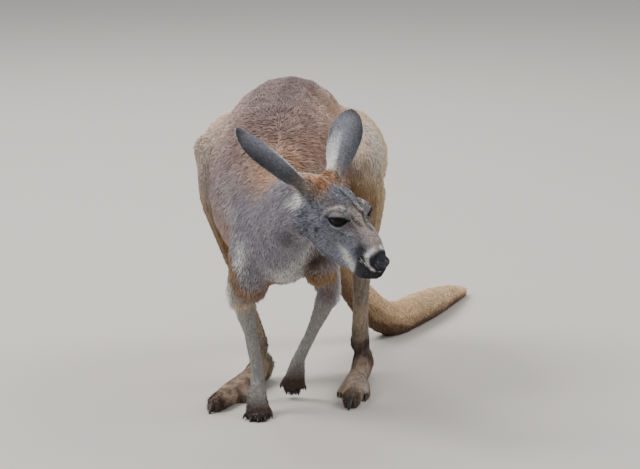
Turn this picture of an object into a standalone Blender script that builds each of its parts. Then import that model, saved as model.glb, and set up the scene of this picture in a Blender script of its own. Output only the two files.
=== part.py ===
"""Female red kangaroo, life size, moving slowly on all fours with its tail behind it.

A still model. The body is lofted from a few stations along each bone, blended into one
skin-tight form and then parted with thin cuts into the parts that a person would name.
The ears, eyes, nose pad and claws are pieces of their own.
Tables are in millimetres, Blender works in metres. +X is the animal's left, its body
faces -Y, and +Z is up.
"""

import math

import bmesh
import bpy
import numpy as np
from mathutils import Matrix, Vector

MM = 0.001
LEFT, RIGHT = 1, -1
SIDES = {"left": LEFT, "right": RIGHT}
WORLD_AXES = (Vector((1, 0, 0)), Vector((0, 1, 0)), Vector((0, 0, 1)))

# Driving dimensions
FLESH_VOXEL = 3.2  # finest form kept when the lofts are blended
SMOOTHING_ROUNDS = 6
CUT_THICKNESS = 0.4
CRUMB = 200.0  # cubic millimetres, less than this is a shaving left by a cut
GAP = 0.3  # clearance round a piece that sits in a socket
LIMB_GAP = 0.6  # clearance between a limb and the trunk
EYE_RADIUS = 16.5
FLAT_DEPTH = 2.5  # how far a sole would sink if it were not flattened by the floor

# The head is turned to the animal's left, lowered and a little tipped.
NOSE_TIP = Vector((180.5, -190.0, 297.0))
HEAD_YAW = math.radians(52.0)
HEAD_PITCH = math.radians(32.0)
HEAD_ROLL = math.radians(7.5)

# Stations along a limb or the body: centre x, y, z, half width, half height
TRUNK = [
    (0, -35, 322, 50, 68),
    (-2, 15, 314, 70, 98),
    (-8, 85, 322, 97, 121),
    (-16, 165, 343, 119, 146),
    (-16, 245, 352, 121, 155),
    (-9, 325, 358, 110, 147),
    (0, 395, 354, 90, 118),
    (4, 450, 334, 66, 88),
    (12, 495, 298, 48, 58),
]
TAIL = [
    (0, 430, 350, 60, 64),
    (6, 478, 312, 48, 54),
    (22, 512, 244, 39, 44),
    (44, 540, 172, 31, 35),
    (71, 562, 106, 27.5, 31),
    (102, 591, 57, 28, 31),
    (134, 640, 28.5, 30, 31),
    (165, 715, 27, 29.5, 29.5),
    (194, 800, 24.5, 27, 27),
    (218, 885, 18.5, 21, 21),
    (238, 950, 11.5, 14, 14),
    (247, 982, 7.5, 9, 9),
]
NECK = [
    (-2, 60, 325, 66, 84),
    (2, 0, 328, 60, 80),
    (14, -45, 342, 50, 64),
    (34, -80, 362, 43, 54),
    (62, -104, 366, 38, 48),
]
THIGH = {
    LEFT: [
        (46, 476, 322, 38, 54),
        (50, 440, 338, 52, 80),
        (67, 370, 353, 60, 91),
        (85, 290, 371, 64, 84),
        (103, 220, 384, 51, 62),
        (113, 172, 382, 38, 44),
        (116, 148, 376, 24, 30),
    ],
    RIGHT: [
        (-46, 476, 322, 38, 54),
        (-52, 440, 338, 52, 80),
        (-72, 370, 353, 60, 93),
        (-97, 290, 368, 64, 83),
        (-113, 222, 377, 47, 60),
        (-121, 180, 372, 33, 46),
        (-123, 155, 364, 22, 30),
    ],
}
SHANK = {
    LEFT: [
        (114, 172, 376, 35, 43),
        (118, 195, 325, 34, 52),
        (115, 225, 258, 25, 43),
        (110, 255, 190, 15.5, 30),
        (106, 284, 125, 13.5, 24),
        (104, 305, 80, 15.5, 26),
        (104, 312, 55, 17, 27),
    ],
    RIGHT: [
        (-121, 178, 368, 32, 43),
        (-114, 190, 318, 33, 50),
        (-99, 210, 252, 24, 41),
        (-85, 228, 186, 16, 29),
        (-75, 245, 122, 13.5, 24),
        (-64, 260, 78, 15.5, 26),
        (-61, 266, 54, 17, 27),
    ],
}
ARM = {
    LEFT: [
        (48, 45, 318, 36, 50),
        (56, 42, 268, 32, 44),
        (67, 46, 225, 25, 32),
        (71, 52, 200, 20, 25),
        (61, 64, 172, 15, 18),
        (42, 86, 126, 10.5, 12),
        (22, 108, 84, 10.5, 11),
        (16, 117, 68, 13, 10),
    ],
    RIGHT: [
        (-46, 40, 312, 38, 50),
        (-54, 36, 262, 34, 45),
        (-66, 40, 222, 24, 33),
        (-71, 50, 196, 20, 25),
        (-62, 52, 165, 15, 18),
        (-52, 53, 120, 11, 13),
        (-44, 52, 72, 11, 12),
        (-42, 50, 44, 14, 12),
    ],
}

# Stations along the head: distance behind the nose, height, half width, half height
SKULL = [
    (3, -18, 9, 7),
    (10, -21.5, 15, 15.5),
    (22, -20.5, 19.5, 25),
    (36, -19.5, 21, 30.5),
    (50, -17, 22, 34),
    (68, -14.5, 26, 37.5),
    (88, -13.5, 31, 41.5),
    (108, -14.5, 35, 46.5),
    (126, -15.5, 37, 49),
    (146, -13, 36, 46.5),
    (165, -9.5, 34, 40.5),
    (183, -6, 29, 32),
    (198, -3.5, 20, 20.5),
]
EYE_PLACE = (99.0, 20.0, 14.0)  # behind the nose, out to the side, up
EYE_LOOK = (-0.45, 0.87, 0.20)  # the way it looks: backward, outward, up
EYE_SLANT = (-0.75, -0.49, 0.45)  # from its rear corner to its front corner
EYE_OPENING = (15.5, 6.6, 10.0)  # half length, half height, depth of the cut
MOUTH_HEIGHT = -25.0
JAW_END = 112.0
JAW_ROOM = (110.0, 16.0, 64.0)  # width of its cutter, reach past the nose and below the mouth

# Ears: place on the head, then direction and opening as backward, outward, up
EAR_LENGTH = 150.0
EAR_THICKNESS = 3.0
EAR_PLACE = {LEFT: (172.0, 26.0, 20.0), RIGHT: (172.0, 26.0, 20.0)}
EAR_DIRECTION = {LEFT: (0.64, 0.745, 0.20), RIGHT: (0.65, 0.63, 0.42)}
EAR_OPENING = {LEFT: (-0.04, 0.19, -0.98), RIGHT: (0.28, 0.27, -0.91)}
# Along an ear from its root: part of the length, half the width round the curve, half angle
EAR_PROFILE = [
    (0.00, 23, 2.15),
    (0.12, 24, 2.00),
    (0.25, 26, 1.70),
    (0.40, 29, 1.35),
    (0.55, 31, 1.12),
    (0.68, 30.5, 0.98),
    (0.80, 27, 0.86),
    (0.90, 20.5, 0.72),
    (0.96, 13, 0.60),
    (1.00, 4, 0.50),
]

# Feet: heel x, y and heading (degrees outward from straight ahead)
FOOT_PLACE = {LEFT: (110, 350, -2.2), RIGHT: (-47, 300, 14.2)}
# Along a foot from the heel: distance, outward offset, height, half width, half height
FOOT_MAIN = [
    (6, 0, 22, 11, 17),
    (22, 0, 26, 16, 24),
    (50, 0, 27, 17, 27),
    (85, 0, 22, 15.5, 22),
    (120, 0, 19, 16, 19.5),
    (155, 0, 17.5, 18.5, 18.5),
    (185, 1, 16.5, 19, 18),
    (212, 2, 14.5, 16, 16),
    (236, 3, 14, 15.5, 16),
    (255, 3, 12.5, 13, 13.5),
]
FOOT_OUTER_TOE = [
    (140, 9, 15, 11, 13),
    (168, 16, 12.5, 10, 12),
    (188, 20, 10, 8.5, 10.5),
    (202, 22, 8.5, 6.5, 8.5),
]
FOOT_INNER_TOE = [
    (120, -9, 14, 9, 12),
    (150, -16, 12, 8, 11),
    (172, -20, 10, 7.5, 9.5),
    (186, -22, 8.5, 6, 7.5),
]
# Claws of a foot: root along, outward, height; length, half width, half height, drop
FOOT_CLAWS = {
    "fourth": (256, 3, 12.5, 26, 7.5, 7.5, 9.5),
    "fifth": (200, 22.5, 8.5, 17, 4.2, 4.6, 5.0),
    "third": (183, -19.5, 8.5, 14, 2.6, 3.4, 5.0),
    "second": (182, -25.5, 8.0, 13, 2.6, 3.4, 4.5),
}

# Hands: palm stations from the wrist, then each finger from its root to its claw's tip
PALM = {
    LEFT: [
        (16, 117, 68, 11.5, 11),
        (13, 124, 50, 15.5, 11),
        (9, 134, 34, 18.5, 10.5),
        (6, 142, 24, 18.5, 9),
    ],
    RIGHT: [
        (-42, 49, 50, 11.5, 12),
        (-42, 39, 35, 15.5, 12),
        (-40, 23, 16, 19, 12),
        (-38, 9, 5, 20, 9.5),
    ],
}
FINGERS = {
    LEFT: {
        "thumb": ((-5, 130, 35), (-12, 138, 25), (-17, 145, 15)),
        "index": ((-3, 139, 25), (-5, 149, 13), (-7, 157, 1)),
        "middle": ((5, 143, 23), (4, 155, 9.5), (2, 165, -2)),
        "ring": ((13, 141, 24), (14, 152, 10.5), (14, 162, -1.5)),
        "little": ((20, 134, 31), (25, 143, 21), (28, 151, 11)),
    },
    RIGHT: {
        "thumb": ((-25, 28, 12), (-17, 14, 5), (-13, 3, 0)),
        "index": ((-29, 8, 6.5), (-25, -7, 3.5), (-23, -19, -0.5)),
        "middle": ((-37, 4, 6.5), (-36, -13, 3.5), (-35, -27, -0.5)),
        "ring": ((-45, 6, 6.5), (-47, -9, 3.5), (-50, -21, -0.5)),
        "little": ((-52, 17, 9), (-58, 5, 5), (-64, -5, 0)),
    },
}
FINGER_WIDTH = 5.6
FINGER_CLAW = (3.0, 3.6, 3.0)  # half width, half height, drop
# Along a claw: part of the length, part of the drop it arches, part of the thickness
CLAW_PROFILE = [(-0.2, 0.0, 0.9), (0.35, 0.32, 0.88), (0.94, 0.08, 0.25)]

# Rounded masses of the face: behind the nose, outward, up; radii the same way round
FACE_PAIRS = [
    ((93, 21, 25), (21, 13, 9)),  # brow
    ((100, 18.5, 14), (27, 18, 19)),  # round the eye
    ((122, 20, -26), (40, 17, 38)),  # cheek
    ((106, 20, -43), (32, 15, 22)),  # angle of the jaw
    ((80, 16, -44), (34, 13, 17)),  # side of the jaw
    ((46, 11, -42), (34, 10, 14)),  # front of the jaw
    ((32, 11, -14), (23, 10, 15)),  # whisker pad
    ((14, 7, -22), (10.5, 9, 9)),  # upper lip
    ((174, 25, 17), (20, 15, 16)),  # ear root
    ((124, 11, 22), (38, 17, 13)),  # forehead
    ((74, 10, 11), (20, 12, 12)),  # edges of the flat nasal bridge, from the eyes forward
    ((60, 9, 8.5), (20, 12, 12)),
    ((45, 8, 4), (20, 12, 12)),
    ((29, 6, -3.5), (16, 11, 11)),
]
FACE_MIDDLE = [
    ((22, 0, -38), (18, 12, 9)),  # chin
    ((12, 0, -29), (11, 12, 10.5)),  # lower lip
    ((130, 0, 24), (34, 20, 11)),  # forehead
]
NOSE_PAD = ((12, 0, -9), (11.5, 14.5, 10.5))

# Rounded masses of the limbs: centre, radii
SHOULDER = {
    LEFT: ((40, 34, 322), (38, 52, 62)),
    RIGHT: ((-42, 34, 318), (38, 52, 62)),
}
ELBOW_WEB = {  # loose skin and long hair between the elbow and the chest
    LEFT: [((58, 14, 238), (26, 24, 24))],
    RIGHT: [((-46, 24, 228), (33, 30, 33)), ((-46, 20, 210), (25, 24, 24))],
}
KNEE_FOLD = {
    LEFT: ((123, 208, 402), (24, 44, 30)),
    RIGHT: ((-138, 208, 398), (24, 44, 28)),
}
HIP_INNER = 46.0  # inner face of a thigh where it meets the rump
HIP_ROOM = ((300, 420, 360), (380, 390))  # size of the block inside it, its middle y and z
FINGER_LIFT = 1.5  # how far a finger arches
FINGER_TAPER = 0.85
EAR_SWAY = 6.0  # how far an ear bows away from its opening
TUBE_SIDES = 20
CLAW_SIDES = 5
EAR_COLUMNS = 6
EYELID_DEPTH = 2.5  # how far the lid opening stands off the eyeball
FLOOR_SIZE = (1200, 2400, 100)
FLOOR_MIDDLE = (0, 300, -50)

# Triangles kept in each blended form
CORE_TRIANGLES = 1350
LEG_TRIANGLES = 500
ARM_TRIANGLES = 440

# Cuts square to the form: a point on the cut, direction through it, width and height
CORE_CUTS = [
    ((62, -98, 372), (0.66, -0.68, -0.05), 130, 170),  # head and neck
    ((10, -40, 338), (0.18, -0.95, 0.24), 200, 240),  # neck and chest
    ((-10, 128, 330), (0.0, 1.0, 0.0), 320, 360),  # chest and rump
    ((20, 500, 278), (0.2, 0.62, -0.76), 180, 200),  # rump and tail
    ((70, 561, 108), (0.36, 0.3, -0.88), 110, 120),  # along the tail
    ((176, 748, 25), (0.3, 0.95, -0.05), 100, 120),
    ((222, 898, 17), (0.26, 0.96, -0.1), 90, 110),
]
KNEE_CUT = {
    LEFT: ((118, 196, 341), (-0.12, 0.52, 0.85), 150, 270),
    RIGHT: ((-118, 198, 334), (0.12, 0.52, 0.85), 150, 270),
}
ANKLE_CUT = {
    LEFT: ((104, 305, 72), (0.0, 0.1, -1.0), 80, 90),
    RIGHT: ((-63, 261, 72), (0.1, 0.1, -1.0), 80, 90),
}
ELBOW_CUT = {
    LEFT: ((70, 55, 190), (-0.2, 0.3, -0.93), 80, 90),
    RIGHT: ((-67, 51, 187), (0.2, 0.1, -0.97), 80, 90),
}
WRIST_CUT = {
    LEFT: ((17, 115, 72), (-0.2, 0.35, -0.9), 60, 60),
    RIGHT: ((-42, 50, 52), (0.1, -0.1, -1.0), 60, 60),
}


def head_axes():
    """Forward, left and up directions of the head."""
    level = Vector((math.sin(HEAD_YAW), -math.cos(HEAD_YAW), 0))
    forward = level * math.cos(HEAD_PITCH) - Vector((0, 0, math.sin(HEAD_PITCH)))
    left = Vector((-level.y, level.x, 0))
    up = forward.cross(left)
    left = left * math.cos(HEAD_ROLL) + up * math.sin(HEAD_ROLL)
    return forward, left, forward.cross(left)


def on_head(back, out, up_by):
    """World position of a place on the head, out being to the animal's left."""
    forward, left, up = head_axes()
    return NOSE_TIP - forward * back + left * out + up * up_by


def head_direction(back, out, up_by):
    """World direction from head directions."""
    forward, left, up = head_axes()
    return (-forward * back + left * out + up * up_by).normalized()


def through(rows, steps):
    """More rows along a smooth curve through the given rows."""
    table = np.array(rows, dtype=float)
    padded = np.vstack([2 * table[0] - table[1], table, 2 * table[-1] - table[-2]])
    out = []
    for index in range(1, len(padded) - 2):
        before, start, end, after = padded[index - 1:index + 3]
        for step in range(steps):
            t = step / steps
            slope_in = (end - before) / 2
            slope_out = (after - start) / 2
            out.append(
                start * (2 * t**3 - 3 * t**2 + 1)
                + slope_in * (t**3 - 2 * t**2 + t)
                + end * (3 * t**2 - 2 * t**3)
                + slope_out * (t**3 - t**2)
            )
    out.append(table[-1])
    return np.array(out)


def closed_tube(name, rings, ends):
    """Closed mesh object over rings of points, each end closed to a pole."""
    mesh = bmesh.new()
    count = len(rings[0])
    loops = [[mesh.verts.new(Vector(point) * MM) for point in ring] for ring in rings]
    poles = [mesh.verts.new(Vector(point) * MM) for point in ends]
    for low, high in zip(loops, loops[1:]):
        for step in range(count):
            after = (step + 1) % count
            mesh.faces.new((low[step], low[after], high[after], high[step]))
    for step in range(count):
        after = (step + 1) % count
        mesh.faces.new((loops[0][after], loops[0][step], poles[0]))
        mesh.faces.new((loops[-1][step], loops[-1][after], poles[1]))
    bmesh.ops.recalc_face_normals(mesh, faces=mesh.faces)
    data = bpy.data.meshes.new(name)
    mesh.to_mesh(data)
    mesh.free()
    item = bpy.data.objects.new(name, data)
    bpy.context.scene.collection.objects.link(item)
    return item


def loft(name, centres, widths, heights, side_hint, count=TUBE_SIDES, fixed=None, dome=0.6):
    """Tube with elliptical sections square to its own run, with domed ends.

    fixed gives the side and up directions of every section instead.
    """
    centres = [Vector(point) for point in centres]
    last = len(centres) - 1
    centre_run = [
        (centres[min(index + 1, last)] - centres[max(index - 1, 0)]).normalized()
        for index in range(last + 1)
    ]
    rows = list(zip(centres, centre_run, widths, heights))
    first_reach = dome * min(widths[0], heights[0])
    last_reach = dome * min(widths[-1], heights[-1])
    rows.insert(0, (
        centres[0] - centre_run[0] * first_reach * 0.7, centre_run[0],
        widths[0] * 0.66, heights[0] * 0.66,
    ))
    rows.append((
        centres[-1] + centre_run[-1] * last_reach * 0.7, centre_run[-1],
        widths[-1] * 0.66, heights[-1] * 0.66,
    ))
    rings = []
    for centre, run, width, height in rows:
        if fixed:
            side, up = fixed
        else:
            side = (side_hint - run * side_hint.dot(run)).normalized()
            up = run.cross(side)
        ring = []
        for step in range(count):
            angle = 2 * math.pi * step / count
            ring.append(centre + side * width * math.cos(angle) + up * height * math.sin(angle))
        rings.append(ring)
    ends = (
        centres[0] - centre_run[0] * first_reach,
        centres[-1] + centre_run[-1] * last_reach,
    )
    return closed_tube(name, rings, ends)


def limb(name, rows, steps=3, side_hint=Vector((1, 0, 0))):
    """Loft through a table of stations x, y, z, half width, half height."""
    table = through(rows, steps)
    return loft(name, table[:, :3], table[:, 3], table[:, 4], side_hint)


def on_foot(side, along, out, height):
    """World position of a place on a foot."""
    heel_x, heel_y, heading = FOOT_PLACE[side]
    angle = math.radians(heading) * side
    ahead = Vector((math.sin(angle), -math.cos(angle), 0))
    outward = Vector((math.cos(angle), math.sin(angle), 0)) * side
    place = Vector((heel_x, heel_y, height - FLAT_DEPTH))
    return place + ahead * along + outward * out


def foot_lofts(side):
    """Sole and toes of one hind foot."""
    out = []
    for index, rows in enumerate((FOOT_MAIN, FOOT_OUTER_TOE, FOOT_INNER_TOE)):
        table = through(rows, 3)
        centres = [on_foot(side, *row[:3]) for row in table]
        out.append(loft(
            f"foot {side} {index}", centres, table[:, 3], table[:, 4], Vector((1, 0, 0)),
        ))
    return out


def skull_loft():
    """The head from its back to the lips."""
    table = through(SKULL, 3)
    forward, left, up = head_axes()
    centres = [on_head(row[0], 0, row[1]) for row in table]
    return loft("skull", centres, table[:, 2], table[:, 3], left, fixed=(left, up), dome=0.5)


def bump(name, centre, radii, axes):
    """Ellipsoid with its radii along three given axes."""
    mesh = bmesh.new()
    bmesh.ops.create_uvsphere(mesh, u_segments=12, v_segments=8, radius=1)
    columns = [axis * radius * MM for axis, radius in zip(axes, radii)]
    placed = Matrix.Translation(centre * MM) @ Matrix((
        (columns[0].x, columns[1].x, columns[2].x, 0),
        (columns[0].y, columns[1].y, columns[2].y, 0),
        (columns[0].z, columns[1].z, columns[2].z, 0),
        (0, 0, 0, 1),
    ))
    bmesh.ops.transform(mesh, matrix=placed, verts=mesh.verts)
    bmesh.ops.recalc_face_normals(mesh, faces=mesh.faces)
    data = bpy.data.meshes.new(name)
    mesh.to_mesh(data)
    mesh.free()
    item = bpy.data.objects.new(name, data)
    bpy.context.scene.collection.objects.link(item)
    return item


def face_bumps():
    """Rounded masses on the head."""
    forward, left, up = head_axes()
    axes = (-forward, left, up)
    out = []
    for index, (place, radii) in enumerate(FACE_PAIRS):
        for side in (LEFT, RIGHT):
            spot = on_head(place[0], place[1] * side, place[2])
            out.append(bump(f"face {index} {side}", spot, radii, axes))
    for index, (place, radii) in enumerate(FACE_MIDDLE):
        out.append(bump(f"face middle {index}", on_head(*place), radii, axes))
    return out


def finger_lofts(side):
    """Palm and fingers of one hand."""
    out = [limb(f"palm {side}", PALM[side])]
    for name, (root, end, _) in FINGERS[side].items():
        middle = (Vector(root) + Vector(end)) / 2 + Vector((0, 0, FINGER_LIFT))
        narrow = FINGER_WIDTH * FINGER_TAPER
        rows = [
            (*root, FINGER_WIDTH, FINGER_WIDTH),
            (*middle, FINGER_WIDTH, FINGER_WIDTH),
            (*end, narrow, narrow),
        ]
        out.append(limb(f"finger {name} {side}", rows, 2))
    return out


def only(item):
    """Make one object the selected and active one."""
    bpy.ops.object.select_all(action="DESELECT")
    item.select_set(True)
    bpy.context.view_layer.objects.active = item


def joined(items, name):
    """Join objects into one."""
    bpy.ops.object.select_all(action="DESELECT")
    for item in items:
        item.select_set(True)
    bpy.context.view_layer.objects.active = items[0]
    bpy.ops.object.join()
    result = bpy.context.view_layer.objects.active
    result.name = name
    return result


def apply(item, kind, **values):
    """Add a modifier and apply it."""
    only(item)
    change = item.modifiers.new(kind.title(), kind)
    for key, value in values.items():
        setattr(change, key, value)
    bpy.ops.object.modifier_apply(modifier=change.name)


def blended(pieces, name, triangles):
    """One smooth closed form from overlapping lofts."""
    form = joined(pieces, name)
    apply(form, "REMESH", mode="VOXEL", voxel_size=FLESH_VOXEL * MM)
    apply(form, "SMOOTH", factor=0.5, iterations=SMOOTHING_ROUNDS)
    apply(form, "DECIMATE", ratio=triangles / (2 * len(form.data.polygons)))
    return form


def core_form():
    """Head, neck, trunk and tail."""
    pieces = [limb("trunk", TRUNK), limb("tail", TAIL), limb("neck", NECK), skull_loft()]
    return blended(pieces + face_bumps(), "core", CORE_TRIANGLES)


def leg_form(side):
    """One hind leg with its foot, flat where it meets the rump."""
    pieces = [limb(f"thigh {side}", THIGH[side]), limb(f"shank {side}", SHANK[side])]
    pieces.append(bump(f"knee {side}", Vector(KNEE_FOLD[side][0]), KNEE_FOLD[side][1], WORLD_AXES))
    form = blended(pieces + foot_lofts(side), f"leg {side}", LEG_TRIANGLES)
    size, middle = HIP_ROOM
    inside = side * (HIP_INNER - size[0] / 2)
    return carved(form, [box("inside of the hip", (inside, *middle), size)])


def arm_form(side):
    """One foreleg with its shoulder and hand."""
    pieces = [limb(f"arm {side}", ARM[side])]
    for index, (centre, radii) in enumerate([SHOULDER[side], *ELBOW_WEB[side]]):
        pieces.append(bump(f"arm mass {index} {side}", Vector(centre), radii, WORLD_AXES))
    return blended(pieces + finger_lofts(side), f"arm {side}", ARM_TRIANGLES)


def box(name, centre, size, turn=None):
    """Box with a given centre and size in millimetres, optionally turned by a matrix."""
    mesh = bmesh.new()
    bmesh.ops.create_cube(mesh, size=1)
    scale = Matrix.Diagonal((size[0] * MM, size[1] * MM, size[2] * MM, 1))
    placed = Matrix.Translation(Vector(centre) * MM) @ (turn or Matrix.Identity(4)) @ scale
    bmesh.ops.transform(mesh, matrix=placed, verts=mesh.verts)
    data = bpy.data.meshes.new(name)
    mesh.to_mesh(data)
    mesh.free()
    item = bpy.data.objects.new(name, data)
    bpy.context.scene.collection.objects.link(item)
    return item


def slab(centre, through_it, width, height):
    """Thin box square to a direction, for cutting a form in two."""
    turn = Vector(through_it).to_track_quat("Z", "X").to_matrix().to_4x4()
    return box("slab", centre, (height, width, CUT_THICKNESS), turn)


def combine(item, other, operation):
    """Apply one exact Boolean to an object."""
    apply(item, "BOOLEAN", object=other, operation=operation, solver="EXACT")


def carved(item, cutters):
    """Take the cutters away from an object and remove them."""
    for cutter in cutters:
        combine(item, cutter, "DIFFERENCE")
        bpy.data.objects.remove(cutter, do_unlink=True)
    return item


def grown(item, by=GAP):
    """Copy of an object a little larger all round."""
    copy = item.copy()
    copy.data = item.data.copy()
    bpy.context.scene.collection.objects.link(copy)
    apply(copy, "DISPLACE", strength=by * MM, mid_level=0.0)
    return copy


def parted(form, cuts):
    """Cut a form by slabs and return its pieces."""
    for cut in cuts:
        carved(form, [slab(*cut)])
    only(form)
    bpy.ops.object.mode_set(mode="EDIT")
    bpy.ops.mesh.select_all(action="SELECT")
    bpy.ops.mesh.separate(type="LOOSE")
    bpy.ops.object.mode_set(mode="OBJECT")
    pieces = []
    for piece in list(bpy.context.selected_objects):
        if volume(piece) < CRUMB:
            bpy.data.objects.remove(piece, do_unlink=True)
        else:
            pieces.append(piece)
    return pieces


def volume(item):
    """Volume of a closed object in cubic millimetres."""
    mesh = bmesh.new()
    mesh.from_mesh(item.data)
    size = mesh.calc_volume()
    mesh.free()
    return size / MM**3


def middle_of(item):
    """Middle of an object's box in millimetres."""
    points = np.array([vertex.co for vertex in item.data.vertices]) / MM
    return Vector((points.min(0) + points.max(0)) / 2)


def ear(name, side):
    """Curled leaf-shaped ear, open along one side, closed all round its edge."""
    table = np.array(EAR_PROFILE)
    back, out, up = EAR_PLACE[side]
    root = on_head(back, out * side, up)
    back, out, up = EAR_DIRECTION[side]
    along = head_direction(back, out * side, up)
    back, out, up = EAR_OPENING[side]
    opening = head_direction(back, out * side, up)
    opening = (opening - along * opening.dot(along)).normalized()
    across = along.cross(opening)
    mesh = bmesh.new()
    rows = []
    for part_way, half, curl in table:
        spread = half / curl
        sway = EAR_SWAY * math.sin(part_way * math.pi)
        centre = root + along * EAR_LENGTH * part_way - opening * sway
        row = []
        for step in range(EAR_COLUMNS + 1):
            angle = curl * (2 * step / EAR_COLUMNS - 1)
            point = centre + across * spread * math.sin(angle)
            point += opening * spread * (1 - math.cos(angle))
            row.append(mesh.verts.new(point * MM))
        rows.append(row)
    for low, high in zip(rows, rows[1:]):
        for step in range(EAR_COLUMNS):
            mesh.faces.new((low[step], low[step + 1], high[step + 1], high[step]))
    data = bpy.data.meshes.new(name)
    mesh.to_mesh(data)
    mesh.free()
    item = bpy.data.objects.new(name, data)
    bpy.context.scene.collection.objects.link(item)
    apply(item, "SOLIDIFY", thickness=EAR_THICKNESS * MM, offset=0.0, use_even_offset=True)
    return item


def claw(name, root, tip, half_width, half_height, drop):
    """Curved claw from inside the toe to its tip."""
    root, tip = Vector(root), Vector(tip)
    centres, widths, heights = [], [], []
    for part_way, rise, size in CLAW_PROFILE:
        centres.append(root.lerp(tip, part_way) + Vector((0, 0, drop * rise)))
        widths.append(half_width * size)
        heights.append(half_height * size)
    side = (tip - root).cross(Vector((0, 0, 1))).normalized()
    return loft(name, centres, widths, heights, side, count=CLAW_SIDES, dome=0.9)


def eyeball(name, side):
    """One eye, a ball deep in its socket."""
    back, out, up = EYE_PLACE
    return bump(name, on_head(back, out * side, up), (EYE_RADIUS,) * 3, WORLD_AXES)


def nose_pad():
    """Bare pad at the end of the muzzle."""
    forward, left, up = head_axes()
    place, radii = NOSE_PAD
    return bump("nose", on_head(*place), radii, (-forward, left, up))


def floor_block():
    """Everything below the floor."""
    return box("floor", FLOOR_MIDDLE, FLOOR_SIZE)


def eye_opening(side):
    """The almond shape between the lids, as a cutter."""
    back, out, up = EYE_PLACE
    middle = on_head(back, out * side, up)
    back, out, up = EYE_LOOK
    look = head_direction(back, out * side, up)
    back, out, up = EYE_SLANT
    along = head_direction(back, out * side, up)
    along = (along - look * along.dot(look)).normalized()
    half_length, half_height, depth = EYE_OPENING
    radii = (half_length, half_height, depth)
    middle += look * (EYE_RADIUS + EYELID_DEPTH)
    return bump("opening", middle, radii, (along, look.cross(along), look))


def jaw_cutter():
    """Two thin plates that part the lower jaw from the head."""
    forward, left, up = head_axes()
    turn = Matrix((
        (-forward.x, left.x, up.x, 0),
        (-forward.y, left.y, up.y, 0),
        (-forward.z, left.z, up.z, 0),
        (0, 0, 0, 1),
    ))
    thin, wide, ahead, below = CUT_THICKNESS, *JAW_ROOM
    middle = on_head((JAW_END - ahead) / 2, 0, MOUTH_HEIGHT)
    line = box("mouth", middle, (JAW_END + ahead, wide, thin), turn)
    rear_middle = on_head(JAW_END, 0, MOUTH_HEIGHT - below / 2)
    rear = box("rear", rear_middle, (thin, wide, below + thin), turn)
    combine(line, rear, "UNION")
    bpy.data.objects.remove(rear, do_unlink=True)
    return line


def claw_pieces(side):
    """The claws of one hand and one foot, flat where they meet the floor."""
    hand, foot = {}, {}
    for name, (_, end, tip) in FINGERS[side].items():
        hand[f"{name}_claw"] = claw(name, end, tip, *FINGER_CLAW)
    for name, (along, out, rise, length, half, tall, drop) in FOOT_CLAWS.items():
        root = on_foot(side, along, out, rise)
        tip = on_foot(side, along + length, out, rise - drop)
        foot[f"{name}_toe_claw"] = claw(name, root, tip, half, tall, drop / 2)
    for item in (*hand.values(), *foot.values()):
        carved(item, [floor_block()])
    return hand, foot


COLOURS = {
    "grey coat": (0.36, 0.33, 0.33),
    "rufous coat": (0.43, 0.29, 0.21),
    "tan coat": (0.62, 0.47, 0.33),
    "sandy coat": (0.66, 0.49, 0.31),
    "pale grey coat": (0.47, 0.43, 0.40),
    "brown coat": (0.38, 0.26, 0.20),
    "dark grey coat": (0.20, 0.19, 0.20),
    "horn": (0.035, 0.03, 0.03),
    "nose skin": (0.02, 0.02, 0.022),
    "eye": (0.025, 0.014, 0.01),
}
# The first word found in a part's name gives its coat
COATS = {
    "claw": "horn", "head": "grey coat", "lower_jaw": "grey coat", "neck": "grey coat",
    "chest": "rufous coat", "rump": "rufous coat", "ear": "dark grey coat",
    "tail": "sandy coat", "thigh": "tan coat", "shank": "tan coat", "foot": "brown coat",
    "upper_arm": "grey coat", "forearm": "pale grey coat", "hand": "brown coat",
    "nose": "nose skin", "eye": "eye",
}


def coat_of(name):
    """Name of the material family of a piece."""
    return next(coat for word, coat in COATS.items() if word in name)


def dressed(item):
    """Give a piece its own material and move it into the object's collection."""
    coat = coat_of(item.name)
    material = bpy.data.materials.new(f"{item.name} {coat}")
    material.use_nodes = True
    shader = material.node_tree.nodes["Principled BSDF"]
    shader.inputs["Base Color"].default_value = (*COLOURS[coat], 1)
    shader.inputs["Roughness"].default_value = 0.2 if coat in ("eye", "nose skin") else 0.8
    item.data.materials.clear()
    item.data.materials.append(material)
    item.data.name = item.name


def height_of(item):
    """Height of the middle of an object."""
    return middle_of(item).z


def settle(items):
    """Put the middle of the whole model's footprint at the origin, on the floor."""
    items = list(items)
    points = np.concatenate([[vertex.co[:] for vertex in item.data.vertices] for item in items])
    low, high = points.min(0), points.max(0)
    shift = Matrix.Translation((-(low[0] + high[0]) / 2, -(low[1] + high[1]) / 2, -low[2]))
    for item in items:
        item.data.transform(shift)


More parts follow.
